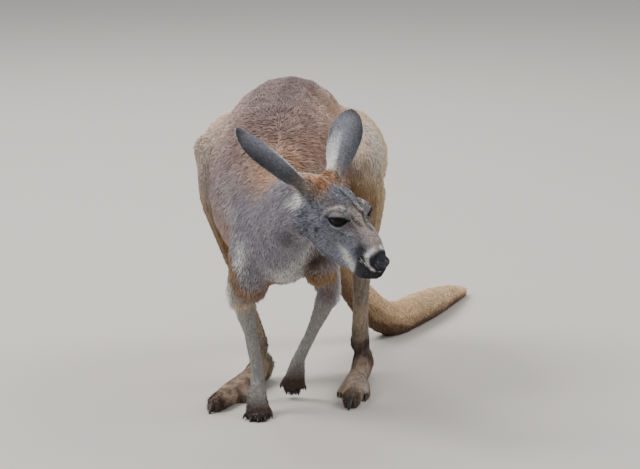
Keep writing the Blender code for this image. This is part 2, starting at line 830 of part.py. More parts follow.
def main():
    for item in list(bpy.data.objects):
        bpy.data.objects.remove(item, do_unlink=True)
    pieces = {}
    core = core_form()
    legs = {side: leg_form(side) for side in (LEFT, RIGHT)}
    arms = {side: arm_form(side) for side in (LEFT, RIGHT)}
    for form in (*legs.values(), *arms.values()):
        carved(core, [grown(form, LIMB_GAP)])
    for form in (core, *legs.values(), *arms.values()):
        carved(form, [floor_block()])
    for word, side in SIDES.items():
        pieces[f"{word}_ear"] = carved(ear("ear", side), [grown(core)])
        eye = eyeball("eye", side)
        carved(core, [eye_opening(side), grown(eye)])
        pieces[f"{word}_eye"] = eye
    pieces["nose"] = nose_pad()
    carved(core, [grown(pieces["nose"])])
    carved(core, [jaw_cutter()])
    along_body = sorted(parted(core, CORE_CUTS), key=lambda item: middle_of(item).y)
    front = sorted(along_body[:2], key=lambda item: middle_of(item).z)
    names = ("lower_jaw", "head", "neck", "chest", "rump", "tail_root", "tail_bend")
    names += ("tail_middle", "tail_tip")
    pieces.update(zip(names, front + along_body[2:], strict=True))
    for word, side in SIDES.items():
        hand, foot = claw_pieces(side)
        carved(arms[side], [grown(item) for item in hand.values()])
        carved(legs[side], [grown(item) for item in foot.values()])
        arm = sorted(parted(arms[side], [ELBOW_CUT[side], WRIST_CUT[side]]), key=height_of)
        leg = sorted(parted(legs[side], [KNEE_CUT[side], ANKLE_CUT[side]]), key=height_of)
        pieces.update(zip((f"{word}_hand", f"{word}_forearm", f"{word}_upper_arm"), arm, strict=True))
        pieces.update(zip((f"{word}_foot", f"{word}_shank", f"{word}_thigh"), leg, strict=True))
        pieces.update({f"{word}_{name}": item for name, item in {**hand, **foot}.items()})
    collection = bpy.data.collections.new("Red kangaroo")
    bpy.context.scene.collection.children.link(collection)
    for name, item in pieces.items():
        item.name = name
        dressed(item)
        for home in list(item.users_collection):
            home.objects.unlink(item)
        collection.objects.link(item)
    settle(pieces.values())


main()
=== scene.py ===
"""Looks of a life-size female red kangaroo, laid out as a Blender add-on.

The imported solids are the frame. One skin with sculpted folds replaces the flesh, a coat of
short tufts lies over it, and the eyes, lids, nose, claws and whiskers are pieces of their own.
Lengths in the tables are millimetres, Blender works in metres. +X is the animal's left, its
body faces -Y, and +Z is up.
"""

import math

import bmesh
import bpy
import numpy as np
from bpy.props import FloatProperty, FloatVectorProperty, IntProperty
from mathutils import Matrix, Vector
from mathutils.bvhtree import BVHTree


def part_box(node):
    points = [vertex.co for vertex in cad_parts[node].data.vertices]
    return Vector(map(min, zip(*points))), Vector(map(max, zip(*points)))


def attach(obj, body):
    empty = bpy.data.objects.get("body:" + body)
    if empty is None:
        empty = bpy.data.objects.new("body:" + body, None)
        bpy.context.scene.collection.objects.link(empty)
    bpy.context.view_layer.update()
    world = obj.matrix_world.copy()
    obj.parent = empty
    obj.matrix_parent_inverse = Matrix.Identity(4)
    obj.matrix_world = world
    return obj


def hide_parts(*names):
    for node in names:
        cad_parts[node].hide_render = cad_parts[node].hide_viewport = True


bl_info = {
    "name": "Red Kangaroo",
    "version": (1, 0, 0),
    "blender": (4, 5, 0),
    "location": "3D View > Sidebar > Kangaroo",
    "description": "Builds the skin, coat, eyes, nose, claws and whiskers of a red kangaroo",
    "category": "Add Mesh",
}

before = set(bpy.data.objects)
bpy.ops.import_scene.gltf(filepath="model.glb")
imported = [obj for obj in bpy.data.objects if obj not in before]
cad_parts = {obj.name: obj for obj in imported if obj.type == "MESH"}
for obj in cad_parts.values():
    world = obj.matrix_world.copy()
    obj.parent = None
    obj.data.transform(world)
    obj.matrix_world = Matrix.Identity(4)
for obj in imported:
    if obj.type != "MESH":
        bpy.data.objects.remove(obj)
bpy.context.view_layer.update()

MM = 0.001
SQUARE_CENTIMETRES = 1e4  # in a square metre
LEFT, RIGHT = 1, -1
SIDES = {"left": LEFT, "right": RIGHT}
FINGERS = ("thumb", "index", "middle", "ring", "little")
TOES = ("fourth", "fifth", "third", "second")


def linear(red, green, blue):
    """Scene-linear colour from the 0 to 255 values of a paint chart."""
    return tuple(((value / 255 + 0.055) / 1.055) ** 2.4 for value in (red, green, blue))


# ---------------------------------------------------------------- places on the frame


def middle(node):
    """Middle of a node's box, in metres."""
    low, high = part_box(node)
    return (low + high) / 2


def spot(node, x, y, z):
    """Place in a node's box, each way from -1 to 1."""
    low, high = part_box(node)
    half = (high - low) / 2
    return (low + high) / 2 + Vector((half.x * x, half.y * y, half.z * z))


# The eyes and the nose pad are balls whose places on the head are known.
EYE_PLACE = (99.0, 20.0, 14.0)  # behind the nose, out to the side, up
NOSE_PLACE = (12.0, 0.0, -9.0)
EYE_RADIUS = 16.5
EYE_LOOK = (-0.45, 0.87, 0.20)
EYE_SLANT = (-0.75, -0.49, 0.45)


class Head:
    """Axes of the head: forward, left and up, and its origin at the tip of the nose."""

    def __init__(self):
        left_eye, right_eye = middle("left_eye"), middle("right_eye")
        nose = middle("nose")
        between = (left_eye + right_eye) / 2
        back = EYE_PLACE[0] - NOSE_PLACE[0]
        rise = EYE_PLACE[2] - NOSE_PLACE[2]
        angle = math.atan2(rise, back)
        run = (nose - between).normalized()
        self.left = (left_eye - right_eye).normalized()
        square = run.cross(self.left)
        self.forward = run * math.cos(angle) + square * math.sin(angle)
        self.up = square * math.cos(angle) - run * math.sin(angle)
        self.tip = nose + self.forward * NOSE_PLACE[0] * MM - self.up * NOSE_PLACE[2] * MM
        self.axes = np.array([-self.forward, self.left, self.up])

    def place(self, back, out, rise, side=LEFT):
        """World place from millimetres behind the nose tip, out to a side and up."""
        return self.tip + self.turn(back, out, rise, side) * MM

    def turn(self, back, out, rise, side=LEFT):
        """World direction from head directions."""
        return -self.forward * back + self.left * (out * side) + self.up * rise

    def measure(self, points):
        """Millimetres behind the nose tip, to the left and up, of an array of points."""
        return (points - np.array(self.tip)) @ self.axes.T / MM


HEAD = Head()


def eye_axes(side):
    """Middle of an eye, then its axes: along the lids to the front, up and outward."""
    look = HEAD.turn(*EYE_LOOK, side).normalized()
    along = HEAD.turn(*EYE_SLANT, side)
    along = (along - look * along.dot(look)).normalized()
    upward = along.cross(look) * side
    centre = middle("left_eye" if side == LEFT else "right_eye")
    return [np.array(item) for item in (centre, along, upward, look)]


# ---------------------------------------------------------------- arrays and noise


LATTICE_STEPS = np.array([73856093, 19349663, 83492791])  # primes that scatter the lattice


def lattice_noise(points, size, seed):
    """Smooth noise from -1 to 1 with features of a given size in metres."""
    scaled = points / size + seed * 17.31
    cell = np.floor(scaled).astype(np.int64)
    part = scaled - cell
    ease = part * part * (3 - 2 * part)
    total = np.zeros(len(points))
    for corner in range(8):
        step = np.array([corner & 1, corner >> 1 & 1, corner >> 2 & 1])
        key = (cell + step) @ LATTICE_STEPS + seed * 7919
        key = (key ^ (key >> 13)) * 1274126177 & 0x7FFFFFFF
        key = (key ^ (key >> 15)) & 0xFFFF
        share = np.prod(np.where(step, ease, 1 - ease), axis=1)
        total += share * (key / 32767.5 - 1)
    return total


def ramp(values, start, run):
    """0 at the start and 1 a run further on, straight between; a run below 0 goes down."""
    return np.clip((values - start) / run, 0, 1)


def unit(rows):
    """Rows scaled to length one."""
    return rows / np.maximum(np.linalg.norm(rows, axis=1, keepdims=True), 1e-12)


def catmull(rows, steps):
    """More rows along a smooth curve through the given rows."""
    table = np.array(rows, dtype=float)
    padded = np.vstack([2 * table[0] - table[1], table, 2 * table[-1] - table[-2]])
    out = []
    for index in range(1, len(padded) - 2):
        before, start, end, after = padded[index - 1:index + 3]
        for step in range(steps):
            t = step / steps
            out.append(
                start * (2 * t**3 - 3 * t**2 + 1)
                + (end - before) / 2 * (t**3 - 2 * t**2 + t)
                + end * (3 * t**2 - 2 * t**3)
                + (after - start) / 2 * (t**3 - t**2)
            )
    out.append(table[-1])
    return np.array(out)


def mesh_from(name, points, corners, counts):
    """Mesh from flat arrays: points, each face's corners end to end, and how many each has."""
    mesh = bpy.data.meshes.new(name)
    mesh.vertices.add(len(points))
    mesh.vertices.foreach_set("co", np.asarray(points, np.float32).ravel())
    mesh.loops.add(len(corners))
    mesh.loops.foreach_set("vertex_index", np.asarray(corners, np.int32))
    mesh.polygons.add(len(counts))
    starts = np.concatenate([[0], np.cumsum(counts)[:-1]])
    mesh.polygons.foreach_set("loop_start", starts.astype(np.int32))
    mesh.update(calc_edges=True)
    mesh.validate()
    mesh.shade_smooth()
    return mesh


def ring_faces(rings, sides):
    """Corners and corner counts of the quads between rings of points."""
    corners = []
    for low in range(0, (rings - 1) * sides, sides):
        for step in range(sides):
            after = (step + 1) % sides
            high = low + sides
            corners += [low + step, low + after, high + after, high + step]
    return corners, [4] * ((rings - 1) * sides)


def cleaned(mesh, merge=0.0, triangles=False):
    """The mesh with close points joined, its faces turned outward and cut up if asked."""
    work = bmesh.new()
    work.from_mesh(mesh)
    if merge:
        bmesh.ops.remove_doubles(work, verts=work.verts, dist=merge)
    bmesh.ops.recalc_face_normals(work, faces=work.faces)
    if triangles:
        bmesh.ops.triangulate(work, faces=work.faces)
    work.to_mesh(mesh)
    work.free()
    return mesh


def new_piece(name, mesh):
    """Object for a mesh, linked to the scene, in place of any earlier one."""
    old = bpy.data.objects.get(name)
    if old:
        bpy.data.objects.remove(old, do_unlink=True)
    mesh.name = name
    piece = bpy.data.objects.new(name, mesh)
    bpy.context.scene.collection.objects.link(piece)
    return piece


def seated(piece, slot, *replaced):
    """Finished piece on the animal's one body, in place of the nodes that it stands for."""
    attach(piece, "root")
    if replaced:
        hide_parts(*replaced)
    return piece


def evaluated(piece):
    """Plain mesh of a piece with its modifiers applied."""
    graph = bpy.context.evaluated_depsgraph_get()
    graph.update()
    return bpy.data.meshes.new_from_object(piece.evaluated_get(graph))


def modified(piece, kind, **values):
    """Apply one modifier to a piece."""
    change = piece.modifiers.new(kind.title(), kind)
    for key, value in values.items():
        setattr(change, key, value)
    mesh = evaluated(piece)
    piece.modifiers.clear()
    old = piece.data
    piece.data = mesh
    bpy.data.meshes.remove(old)
    return piece


DRAW_IN, LET_OUT = 0.5, 0.52  # steps of one round of smoothing, which keep the volume


class Surface:
    """Points, normals and edges of a mesh as arrays."""

    def __init__(self, mesh):
        self.mesh = mesh
        count = len(mesh.vertices)
        self.points = np.empty(count * 3)
        mesh.vertices.foreach_get("co", self.points)
        self.points = self.points.reshape(-1, 3)
        self.edges = np.empty(len(mesh.edges) * 2, np.int64)
        mesh.edges.foreach_get("vertices", self.edges)
        self.edges = self.edges.reshape(-1, 2)
        ends = self.edges.ravel()
        self.degree = np.maximum(np.bincount(ends, minlength=count), 1)

    def normals(self):
        """Vertex normals of the mesh as it is now."""
        out = np.empty(len(self.mesh.vertices) * 3)
        self.mesh.vertices.foreach_get("normal", out)
        return out.reshape(-1, 3)

    def store(self):
        """Write the points back to the mesh."""
        self.mesh.vertices.foreach_set("co", self.points.ravel())
        self.mesh.update()

    def around(self, values):
        """Mean of each vertex's neighbours."""
        count = len(self.degree)
        first, second = self.edges.T
        columns = []
        for column in np.atleast_2d(values.T):
            total = np.bincount(first, column[second], count)
            total += np.bincount(second, column[first], count)
            columns.append(total / self.degree)
        return np.stack(columns, 1).reshape(values.shape)

    def spread(self, values, rounds):
        """Values smoothed over the surface."""
        for _ in range(rounds):
            values = (values + self.around(values)) / 2
        return values

    def polish(self, weights, rounds):
        """Smooth the points without shrinking the form, more where weights are large."""
        share = weights[:, None]
        for _ in range(rounds):
            self.points += (self.around(self.points) - self.points) * share * DRAW_IN
            self.points -= (self.around(self.points) - self.points) * share * LET_OUT


# ---------------------------------------------------------------- the coat's regions

FLESH = ["head", "lower_jaw", "neck", "chest", "rump"]
FLESH += ["tail_root", "tail_bend", "tail_middle", "tail_tip"]
LIMBS = ("thigh", "shank", "foot", "upper_arm", "forearm", "hand")
FLESH += [f"{side}_{part}" for side in SIDES for part in LIMBS]
EARS = ["left_ear", "right_ear"]
COATED = FLESH + EARS

# For each kind of part: coat depth, polish, tuft length, tuft width, tufts per square
# centimetre, and how steeply a tuft stands off the skin
REGIONS = {
    "lower_jaw": (1.0, 18, 5.0, 0.85, 29, 0.20),
    "head": (1.1, 12, 5.5, 0.9, 33, 0.20),
    "neck": (3.4, 70, 10.5, 1.25, 18, 0.26),
    "chest": (3.8, 70, 12.0, 1.35, 16, 0.26),
    "rump": (3.0, 70, 10.0, 1.3, 18.0, 0.20),
    "tail": (2.4, 60, 9.0, 1.25, 15.0, 0.20),
    "thigh": (3.2, 70, 11.0, 1.35, 15, 0.24),
    "shank": (1.9, 26, 7.0, 1.15, 20, 0.22),
    "foot": (1.1, 9, 6.2, 1.0, 24, 0.30),
    "upper_arm": (3.4, 40, 10.5, 1.3, 17, 0.28),
    "forearm": (1.4, 14, 6.0, 1.0, 24, 0.20),
    "hand": (0.8, 4, 5.6, 0.95, 28, 0.24),
    "ear": (0.5, 2, 3.6, 0.7, 30, 0.18),
}
DEPTH, POLISH, LENGTH, WIDTH, DENSITY, LIFT = range(6)
GROWTH = 0.5  # swell of each solid before they are made one, so that the cuts close
# The middle line of the body from the front, and how far the coat hangs down along it
MIDLINE = ["nose", "head", "neck", "chest", "rump"]
MIDLINE += ["tail_root", "tail_bend", "tail_middle", "tail_tip"]
DROOP = {"chest": 1.3, "neck": 1.5, "rump": 0.3}


def row_for(table, node):
    """First entry of a table by words whose word is in the node's name."""
    return next(entry for word, entry in table.items() if word in node)


REGION_ROWS = np.array([row_for(REGIONS, node) for node in COATED])


def on_nodes(found, *nodes):
    """True for the points that belong to the named nodes."""
    return np.isin(found, [COATED.index(node) for node in nodes])


def on_words(found, *words):
    """True for the points of every node with one of the words in its name."""
    chosen = [node for node in COATED if any(word in node for word in words)]
    return on_nodes(found, *chosen)


def lie_of(node):
    """Direction in which the coat of a node lies, at its middle."""
    side, _, part = node.partition("_")
    if node == "lower_jaw":
        node = "head"
    if node in MIDLINE:
        place = MIDLINE.index(node)
        after = MIDLINE[min(place + 1, len(MIDLINE) - 1)]
        run = (middle(after) - middle(MIDLINE[place - 1])).normalized()
        return run - Vector((0, 0, DROOP.get(node, 0.0)))
    if part == "ear":
        return (middle(node) - HEAD.place(150, 0, 0)).normalized()
    if part == "thigh":
        return (middle(f"{side}_shank") - middle(node)).normalized() + Vector((0, 0.55, 0))
    if part == "shank":
        return middle(f"{side}_foot") - middle(f"{side}_thigh")
    if part == "foot":
        return spot(node, 0, -1, -1) - spot(node, 0, 1, 0.3)
    if part == "upper_arm":
        return middle(f"{side}_forearm") - middle(node) + Vector((0, 0.03, 0))
    if part == "forearm":
        return middle(f"{side}_hand") - middle(f"{side}_upper_arm")
    return middle(f"{side}_middle_claw") - middle(f"{side}_forearm")


# ---------------------------------------------------------------- settings


class KANGAROO_PG_flesh(bpy.types.PropertyGroup):
    """Fineness of the skin."""

    voxel: FloatProperty(
        name="Voxel", description="Finest form kept when the solids are made one skin",
        default=2.3 * MM, min=1 * MM, max=10 * MM, unit="LENGTH",
    )
    faces: IntProperty(
        name="Skin triangles", description="Triangles left in the skin before the face is refined",
        default=120000, min=20000, max=180000,
    )
    seed: IntProperty(name="Seed", description="Seed of everything irregular", default=7)


class KANGAROO_PG_coat(bpy.types.PropertyGroup):
    """How full the coat is."""

    thickness: FloatProperty(
        name="Thickness", description="Share of the listed number of tufts",
        default=1.0, min=0.05, max=1.2,
    )
    length: FloatProperty(
        name="Length", description="Share of the listed tuft length",
        default=1.0, min=0.3, max=2.0,
    )
    ruffle: FloatProperty(
        name="Ruffle", description="How far tufts stray from the lie of the coat",
        default=0.45, min=0, max=2,
    )


def colour(name, red, green, blue):
    """Colour property with a paint-chart default."""
    return FloatVectorProperty(
        name=name, description=f"Colour of the {name.lower()}", subtype="COLOR", size=3,
        default=linear(red, green, blue), min=0, max=1,
    )


class KANGAROO_PG_colours(bpy.types.PropertyGroup):
    """Colours of the coat and the bare parts."""

    back: colour("Back", 188, 155, 141)
    # Painted shade down the middle of the back, between its lit edges
    spine: colour("Spine", 114, 94, 90)
    rufous: colour("Rufous patches", 196, 148, 106)
    shoulder: colour("Shoulder", 158, 154, 163)
    face: colour("Face", 128, 129, 141)
    bridge: colour("Nasal bridge", 164, 149, 140)
    crown: colour("Crown", 146, 94, 56)
    brow: colour("Brow", 158, 140, 124)
    white: colour("White fur", 230, 230, 228)
    haunch: colour("Haunch", 230, 203, 170)
    shank: colour("Shank", 170, 158, 144)
    mottle: colour("Mottled shank", 108, 98, 90)
    tail: colour("Tail", 224, 190, 150)
    # Painted shade on the underside of the tail
    tail_under: colour("Underside of the tail", 100, 70, 46)
    forearm: colour("Forearm", 170, 167, 164)
    hand: colour("Hand", 84, 66, 58)
    finger: colour("Finger ends", 34, 27, 26)
    foot: colour("Foot", 192, 168, 146)
    buff: colour("Buff of the crown", 164, 138, 112)
    umber: colour("Brown of the face", 112, 84, 64)
    tan: colour("Tan of the limbs", 160, 124, 76)
    toe: colour("Toe ends", 70, 50, 44)
    ear: colour("Ear back", 120, 121, 129)
    # Dark grey of the ear rim, also laid as painted shade in creases, under the jaw and on the
    # neck
    ear_rim: colour("Ear rim", 52, 50, 54)
    muzzle: colour("Muzzle", 16, 15, 16)
    horn: colour("Claws", 44, 36, 34)
    # Black leather lifted to a dark blue-grey as a painted sheen
    nose: colour("Nose", 38, 38, 46)
    iris: colour("Iris", 5, 4, 4)


class KANGAROO_PG_stage(bpy.types.PropertyGroup):
    """Camera, floor and light."""

    azimuth: FloatProperty(
        name="Camera azimuth", description="Turn of the camera round the animal",
        default=math.radians(5.0), subtype="ANGLE",
    )
    elevation: FloatProperty(
        name="Camera elevation", description="Height of the camera over the horizon",
        default=math.radians(11.5), subtype="ANGLE",
    )
    distance: FloatProperty(
        name="Camera distance", description="From the camera to the animal",
        default=6.3, unit="LENGTH",
    )
    lens: FloatProperty(name="Lens", description="Focal length in millimetres", default=218.75)
    floor: colour("Floor", 178, 173, 167)


def settings(group):
    """One of the scene's groups of settings: flesh, coat, colours or stage."""
    return getattr(bpy.context.scene, f"kangaroo_{group}")


# ---------------------------------------------------------------- the skin


def welded(node):
    """bmesh of a node with its loose triangles joined."""
    mesh = bmesh.new()
    mesh.from_mesh(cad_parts[node].data)
    bmesh.ops.remove_doubles(mesh, verts=mesh.verts, dist=1e-6)
    bmesh.ops.recalc_face_normals(mesh, faces=mesh.faces)
    mesh.normal_update()
    return mesh


def flesh_piece(voxel):
    """All flesh nodes as one closed form of even quads."""
    points, corners, counts = [], [], []
    for node in FLESH + ["left_eye", "right_eye", "nose"]:
        mesh = welded(node)
        mesh.verts.index_update()
        base = len(points)
        for vertex in mesh.verts:
            points.append(vertex.co + vertex.normal * GROWTH * MM)
        for face in mesh.faces:
            corners += [base + vertex.index for vertex in face.verts]
            counts.append(len(face.verts))
        mesh.free()
    piece = new_piece("skin", mesh_from("flesh", np.array(points), corners, counts))
    return modified(piece, "REMESH", mode="VOXEL", voxel_size=voxel, adaptivity=0.0)


def labels(points):
    """Index in COATED of the node nearest to each point."""
    vertices, triangles, owners = [], [], []
    for index, node in enumerate(COATED):
        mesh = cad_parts[node].data
        mesh.calc_loop_triangles()
        base = len(vertices)
        vertices += [vertex.co for vertex in mesh.vertices]
        triangles += [tuple(base + v for v in item.vertices) for item in mesh.loop_triangles]
        owners += [index] * len(mesh.loop_triangles)
    tree = BVHTree.FromPolygons(vertices, triangles)
    return np.array([owners[tree.find_nearest(Vector(point))[2]] for point in points])


def stroke(points, path, width):
    """Nearness of each point to a path of world points, 1 on it and fading over the width."""
    path = np.array([list(place) for place in path])
    best = np.full(len(points), np.inf)
    if len(path) == 1:
        best = np.linalg.norm(points - path[0], axis=1)
    for start, end in zip(path, path[1:]):
        run = end - start
        part = np.clip((points - start) @ run / (run @ run), 0, 1)
        gap = np.linalg.norm(points - start - part[:, None] * run, axis=1)
        best = np.minimum(best, gap)
    return np.exp(-((best / (width * MM)) ** 2))


HUG_STEP = 3  # mm
THIN = 4  # mm; a line below this width is laid on the skin, or it would miss it


def hug(path, points):
    """Path in short steps, each laid on the nearest of the points and evened out."""
    path = np.array([list(place) for place in path])
    steps = []
    for start, end in zip(path, path[1:]):
        count = max(int(np.linalg.norm(end - start) / (HUG_STEP * MM)), 1)
        steps += [start + (end - start) * step / count for step in range(count)]
    steps.append(path[-1])
    laid = np.array([points[((points - step) ** 2).sum(1).argmin()] for step in steps])
    for _ in range(2):
        laid[1:-1] = (laid[:-2] + 2 * laid[1:-1] + laid[2:]) / 4
    return laid


def head_path(side, *places):
    """Path from head places, mirrored to a side."""
    return [HEAD.place(*place, side) for place in places]


# Folds and masses of the face: width, height (less than nothing is a groove), places
FACE_STROKES = [
    (7.5, 2.4, [(124, 33, 8), (116, 29, 19), (104, 24, 28), (92, 20, 31)]),  # brow pad
    (2.6, -1.8, [(130, 34, 6), (121, 28, 22), (111, 17, 31), (100, 11, 33), (84, 13, 31)]),
    (1.9, -1.2, [(121, 35, 8), (113, 32, 18), (102, 28, 25.5), (92, 25, 28)]),  # brow wrinkles
    (1.8, -1.0, [(119, 31, 16), (108, 26, 26), (96, 22, 31)]),
    (2.2, -1.6, [(92, 22, 34), (91, 26, 29), (90, 29, 25)]),  # crease at the front of the brow
    (4.0, 0.9, [(118, 1, 34), (100, 2, 34), (84, 4, 32), (60, 4, 22), (34, 3, 8)]),  # nose ridge
    (2.6, -0.9, [(70, 19, 9), (62, 18, 3), (52, 17, -2)]),  # tear groove
    (3.0, -1.2, [(76, 27, 0), (90, 35, -4), (108, 39, -2)]),  # fold under the lower lid
    (7.0, 1.2, [(72, 24, -6), (92, 34, -11), (112, 37, -9)]),  # cheekbone
    (7.0, -1.4, [(64, 22, -16), (84, 31, -25), (104, 37, -30)]),  # hollow under the cheekbone
    (10.0, 1.4, [(110, 34, -38), (130, 34, -38), (146, 30, -28)]),  # jaw muscle
    (4.0, -1.3, [(150, 33, -6), (157, 30, -24), (152, 24, -48)]),  # behind the jaw
    (5.0, -0.8, [(112, 6, 30), (132, 14, 36), (158, 20, 38)]),  # temple line
    (6.0, 1.0, [(24, 11, -13), (36, 15, -15), (48, 17, -16)]),  # whisker pad
    (2.2, -0.8, [(30, 14, -3), (44, 16, -3), (58, 17, -6)]),  # over the whisker pad
    (2.2, -1.6, [(10, 10.5, -11), (16, 14, -8.5), (23, 16, -8)]),  # wing of the nostril
]
MOUTH = [
    (6, 4, -22), (14, 11, -25), (28, 16.5, -25), (42, 20, -25), (52, 22, -24.5), (60, 24, -22),
]
PHILTRUM = [(2, 0, -16), (4, 0, -22), (8, 0, -25)]
# Upper and lower edge of the eye opening, from the rear corner (-1) to the front one (1)
LID_HALF_LENGTH = 14.7
LID_MIDDLE = -1.6  # of the opening, in front of the middle of the eye
LID_UPPER = 5.7
LID_LOWER = 7.0
LID_ARCH = (2.2, 0.8)  # powers that round the opening
LID_THICKNESS = 1.5
LID_SPREAD = 6.5  # over which the lids pass into the face
SOCKET = 42  # reach of the lids' shaping from the middle of the eye
UPPER_FOLD = (0.9, 4.2, 1.3)  # depth, distance from the lid's edge, width
LOWER_FOLD = (0.6, 4.6, 1.2)


def lid_edges(part):
    """Heights of the upper and lower lid edge at a part of the half length."""
    part = np.clip(np.abs(part), 0, 1)
    arch = (1 - part**LID_ARCH[0]) ** LID_ARCH[1]
    return LID_UPPER * arch, -LID_LOWER * arch


def open_eye(surface, side):
    """Draw the lids over the eyeball and sink the skin behind the opening."""
    centre, along, upward, look = eye_axes(side)
    arm = surface.points - centre
    reach = np.linalg.norm(arm, axis=1) / MM
    near = (reach < SOCKET) & (arm @ look > 0)
    direction = arm[near] / (reach[near, None] * MM)
    across = direction @ along * EYE_RADIUS
    rise = direction @ upward * EYE_RADIUS
    high, low = lid_edges((across - LID_MIDDLE) / LID_HALF_LENGTH)
    beyond = np.maximum(np.abs(across - LID_MIDDLE) - LID_HALF_LENGTH, 0)
    outside = np.maximum(rise - high, low - rise)
    outside = np.where(beyond > 0, np.hypot(np.maximum(outside, 0), beyond), outside)
    outside = np.where(direction @ look < 0.05, 25.0, outside)
    old = reach[near]
    lid = EYE_RADIUS + LID_THICKNESS + 0.05 * np.maximum(outside, 0)
    new = old + (lid - old) * np.exp(-((np.maximum(outside, 0) / LID_SPREAD) ** 2))
    for (depth, distance, width), where in ((UPPER_FOLD, rise > 0), (LOWER_FOLD, rise <= 0)):
        new -= depth * np.exp(-(((outside - distance) / width) ** 2)) * where
    new = np.maximum(new, EYE_RADIUS + 1.0)
    new = np.where(outside < 0, EYE_RADIUS - 2.5 - np.minimum(-outside, 3) * 0.5, new)
    surface.points[near] = centre + direction * new[:, None] * MM


FINE_EYE = 27  # reach of the finer triangles round an eye, and then round places of the mouth
FINE_PLACES = [((18, 0, -16), 34), ((46, 0, -22), 22)]


def refine_face(piece):
    """Finer triangles round the eyes, nose and mouth."""
    mesh = bmesh.new()
    mesh.from_mesh(piece.data)
    centres = [(middle(f"{side}_eye"), FINE_EYE) for side in SIDES]
    centres += [(HEAD.place(*place), reach) for place, reach in FINE_PLACES]
    chosen = [
        edge for edge in mesh.edges
        if any((edge.verts[0].co - centre).length < reach * MM for centre, reach in centres)
    ]
    bmesh.ops.subdivide_edges(mesh, edges=chosen, cuts=1, use_grid_fill=True, smooth=0.3)
    bmesh.ops.triangulate(mesh, faces=mesh.faces)
    mesh.to_mesh(piece.data)
    mesh.free()


# ---------------------------------------------------------------- the ears

EAR_LENGTH = 150.0
EAR_PLACE = (172.0, 26.0, 20.0)
EAR_DIRECTION = {LEFT: (0.64, 0.745, 0.20), RIGHT: (0.65, 0.63, 0.42)}
EAR_OPENING = {LEFT: (-0.04, 0.19, -0.98), RIGHT: (0.28, 0.27, -0.91)}
EAR_SWAY = 6.0
# Along an ear from its root: part of the length, half the width round the curve, half angle
EAR_PROFILE = [
    (0.00, 23, 2.15),
    (0.12, 24, 2.00),
    (0.25, 26, 1.70),
    (0.40, 29, 1.35),
    (0.55, 31, 1.12),
    (0.68, 30.5, 0.98),
    (0.80, 27, 0.86),
    (0.90, 20.5, 0.72),
    (0.96, 13, 0.60),
    (1.00, 4, 0.50),
]
EAR_COLUMNS = 30
EAR_WALL = (2.6, 1.3)  # wall at the root and at the tip


def ear_frame(side):
    """Root of an ear in metres, then its directions: along it, to its opening and across."""
    along = HEAD.turn(*EAR_DIRECTION[side], side).normalized()
    opening = HEAD.turn(*EAR_OPENING[side], side)
    opening = (opening - along * opening.dot(along)).normalized()
    rows = (HEAD.place(*EAR_PLACE, side), along, opening, along.cross(opening))
    return [np.array(row) for row in rows]


def ear_mesh(name, side):
    """One ear as a thin curled leaf with a rounded rim."""
    table = catmull(EAR_PROFILE, 5)
    root, along, opening, across = ear_frame(side)
    step = np.linspace(-1, 1, EAR_COLUMNS + 1)
    rows, outward = [], []
    for part, half, curl in table:
        spread = half / curl
        sway = opening * EAR_SWAY * math.sin(part * math.pi)
        centre = root / MM + along * EAR_LENGTH * part - sway
        ripple = 0.5 * np.sin(step * 9 + part * 14) * (1 - part) * np.abs(step)
        angle = curl * step
        radial = np.outer(np.sin(angle), across) - np.outer(np.cos(angle), opening)
        rows.append(centre + opening * spread + radial * (spread + ripple)[:, None])
        outward.append(radial)
    rows, outward = np.array(rows), np.array(outward)
    wall = np.linspace(*EAR_WALL, len(table))[:, None] * (1 - 0.45 * np.abs(step) ** 6)
    half_wall = outward * wall[..., None] / 2
    loops = np.concatenate([rows + half_wall, (rows - half_wall)[:, ::-1]], axis=1)
    count = loops.shape[1]
    corners, counts = ring_faces(len(loops), count)
    last = (len(loops) - 1) * count
    for place in range(EAR_COLUMNS):
        mirror = count - 1 - place
        corners += [place + 1, place, mirror, mirror - 1]
        corners += [last + place, last + place + 1, last + mirror - 1, last + mirror]
        counts += [4, 4]
    mesh = mesh_from(name, loops.reshape(-1, 3) * MM, corners, counts)
    return cleaned(mesh, merge=1e-6, triangles=True)


# ---------------------------------------------------------------- colours of the coat


class Paint:
    """Colours of the coat's chart laid one over another on an array of points."""

    def __init__(self, colours):
        self.tints = settings("colours")
        self.colours = colours

    def lay(self, tint, share):
        """Mix in one of the colours, wholly where the share is 1."""
        share = np.clip(share, 0, 1)[:, None]
        self.colours = self.colours * (1 - share) + np.array(getattr(self.tints, tint)) * share


SOFT_EDGE = 1.6  # a patch begins to fade at 0.6 of its radii and ends at this many


def patch(points, centre, radii):
    """Soft ellipsoid: 1 inside, fading to 0 outside."""
    scaled = (points - np.array(centre)) / (np.array(radii) * MM)
    return np.clip(SOFT_EDGE - np.linalg.norm(scaled, axis=1), 0, 1)


def head_patch(measured, centre, radii):
    """Soft ellipsoid in head millimetres, on both sides."""
    placed = measured.copy()
    placed[:, 1] = np.abs(placed[:, 1])
    return patch(placed * MM, np.array(centre) * MM, radii)


def limb_patch(points, side, node, place, shift, radii):
    """Soft ellipsoid at a place in a node's box, mirrored to a side and shifted (mm)."""
    x, y, z = place
    return patch(points, spot(f"{side}_{node}", x * SIDES[side], y, z) + Vector(shift) * MM, radii)


# Colour that each kind of part starts from
BASE_TINTS = {
    "lower_jaw": "face", "head": "face", "neck": "shoulder", "chest": "back", "rump": "back",
    "tail": "tail", "thigh": "haunch", "shank": "shank", "foot": "foot",
    "upper_arm": "shoulder", "forearm": "forearm", "hand": "hand", "ear": "ear",
}
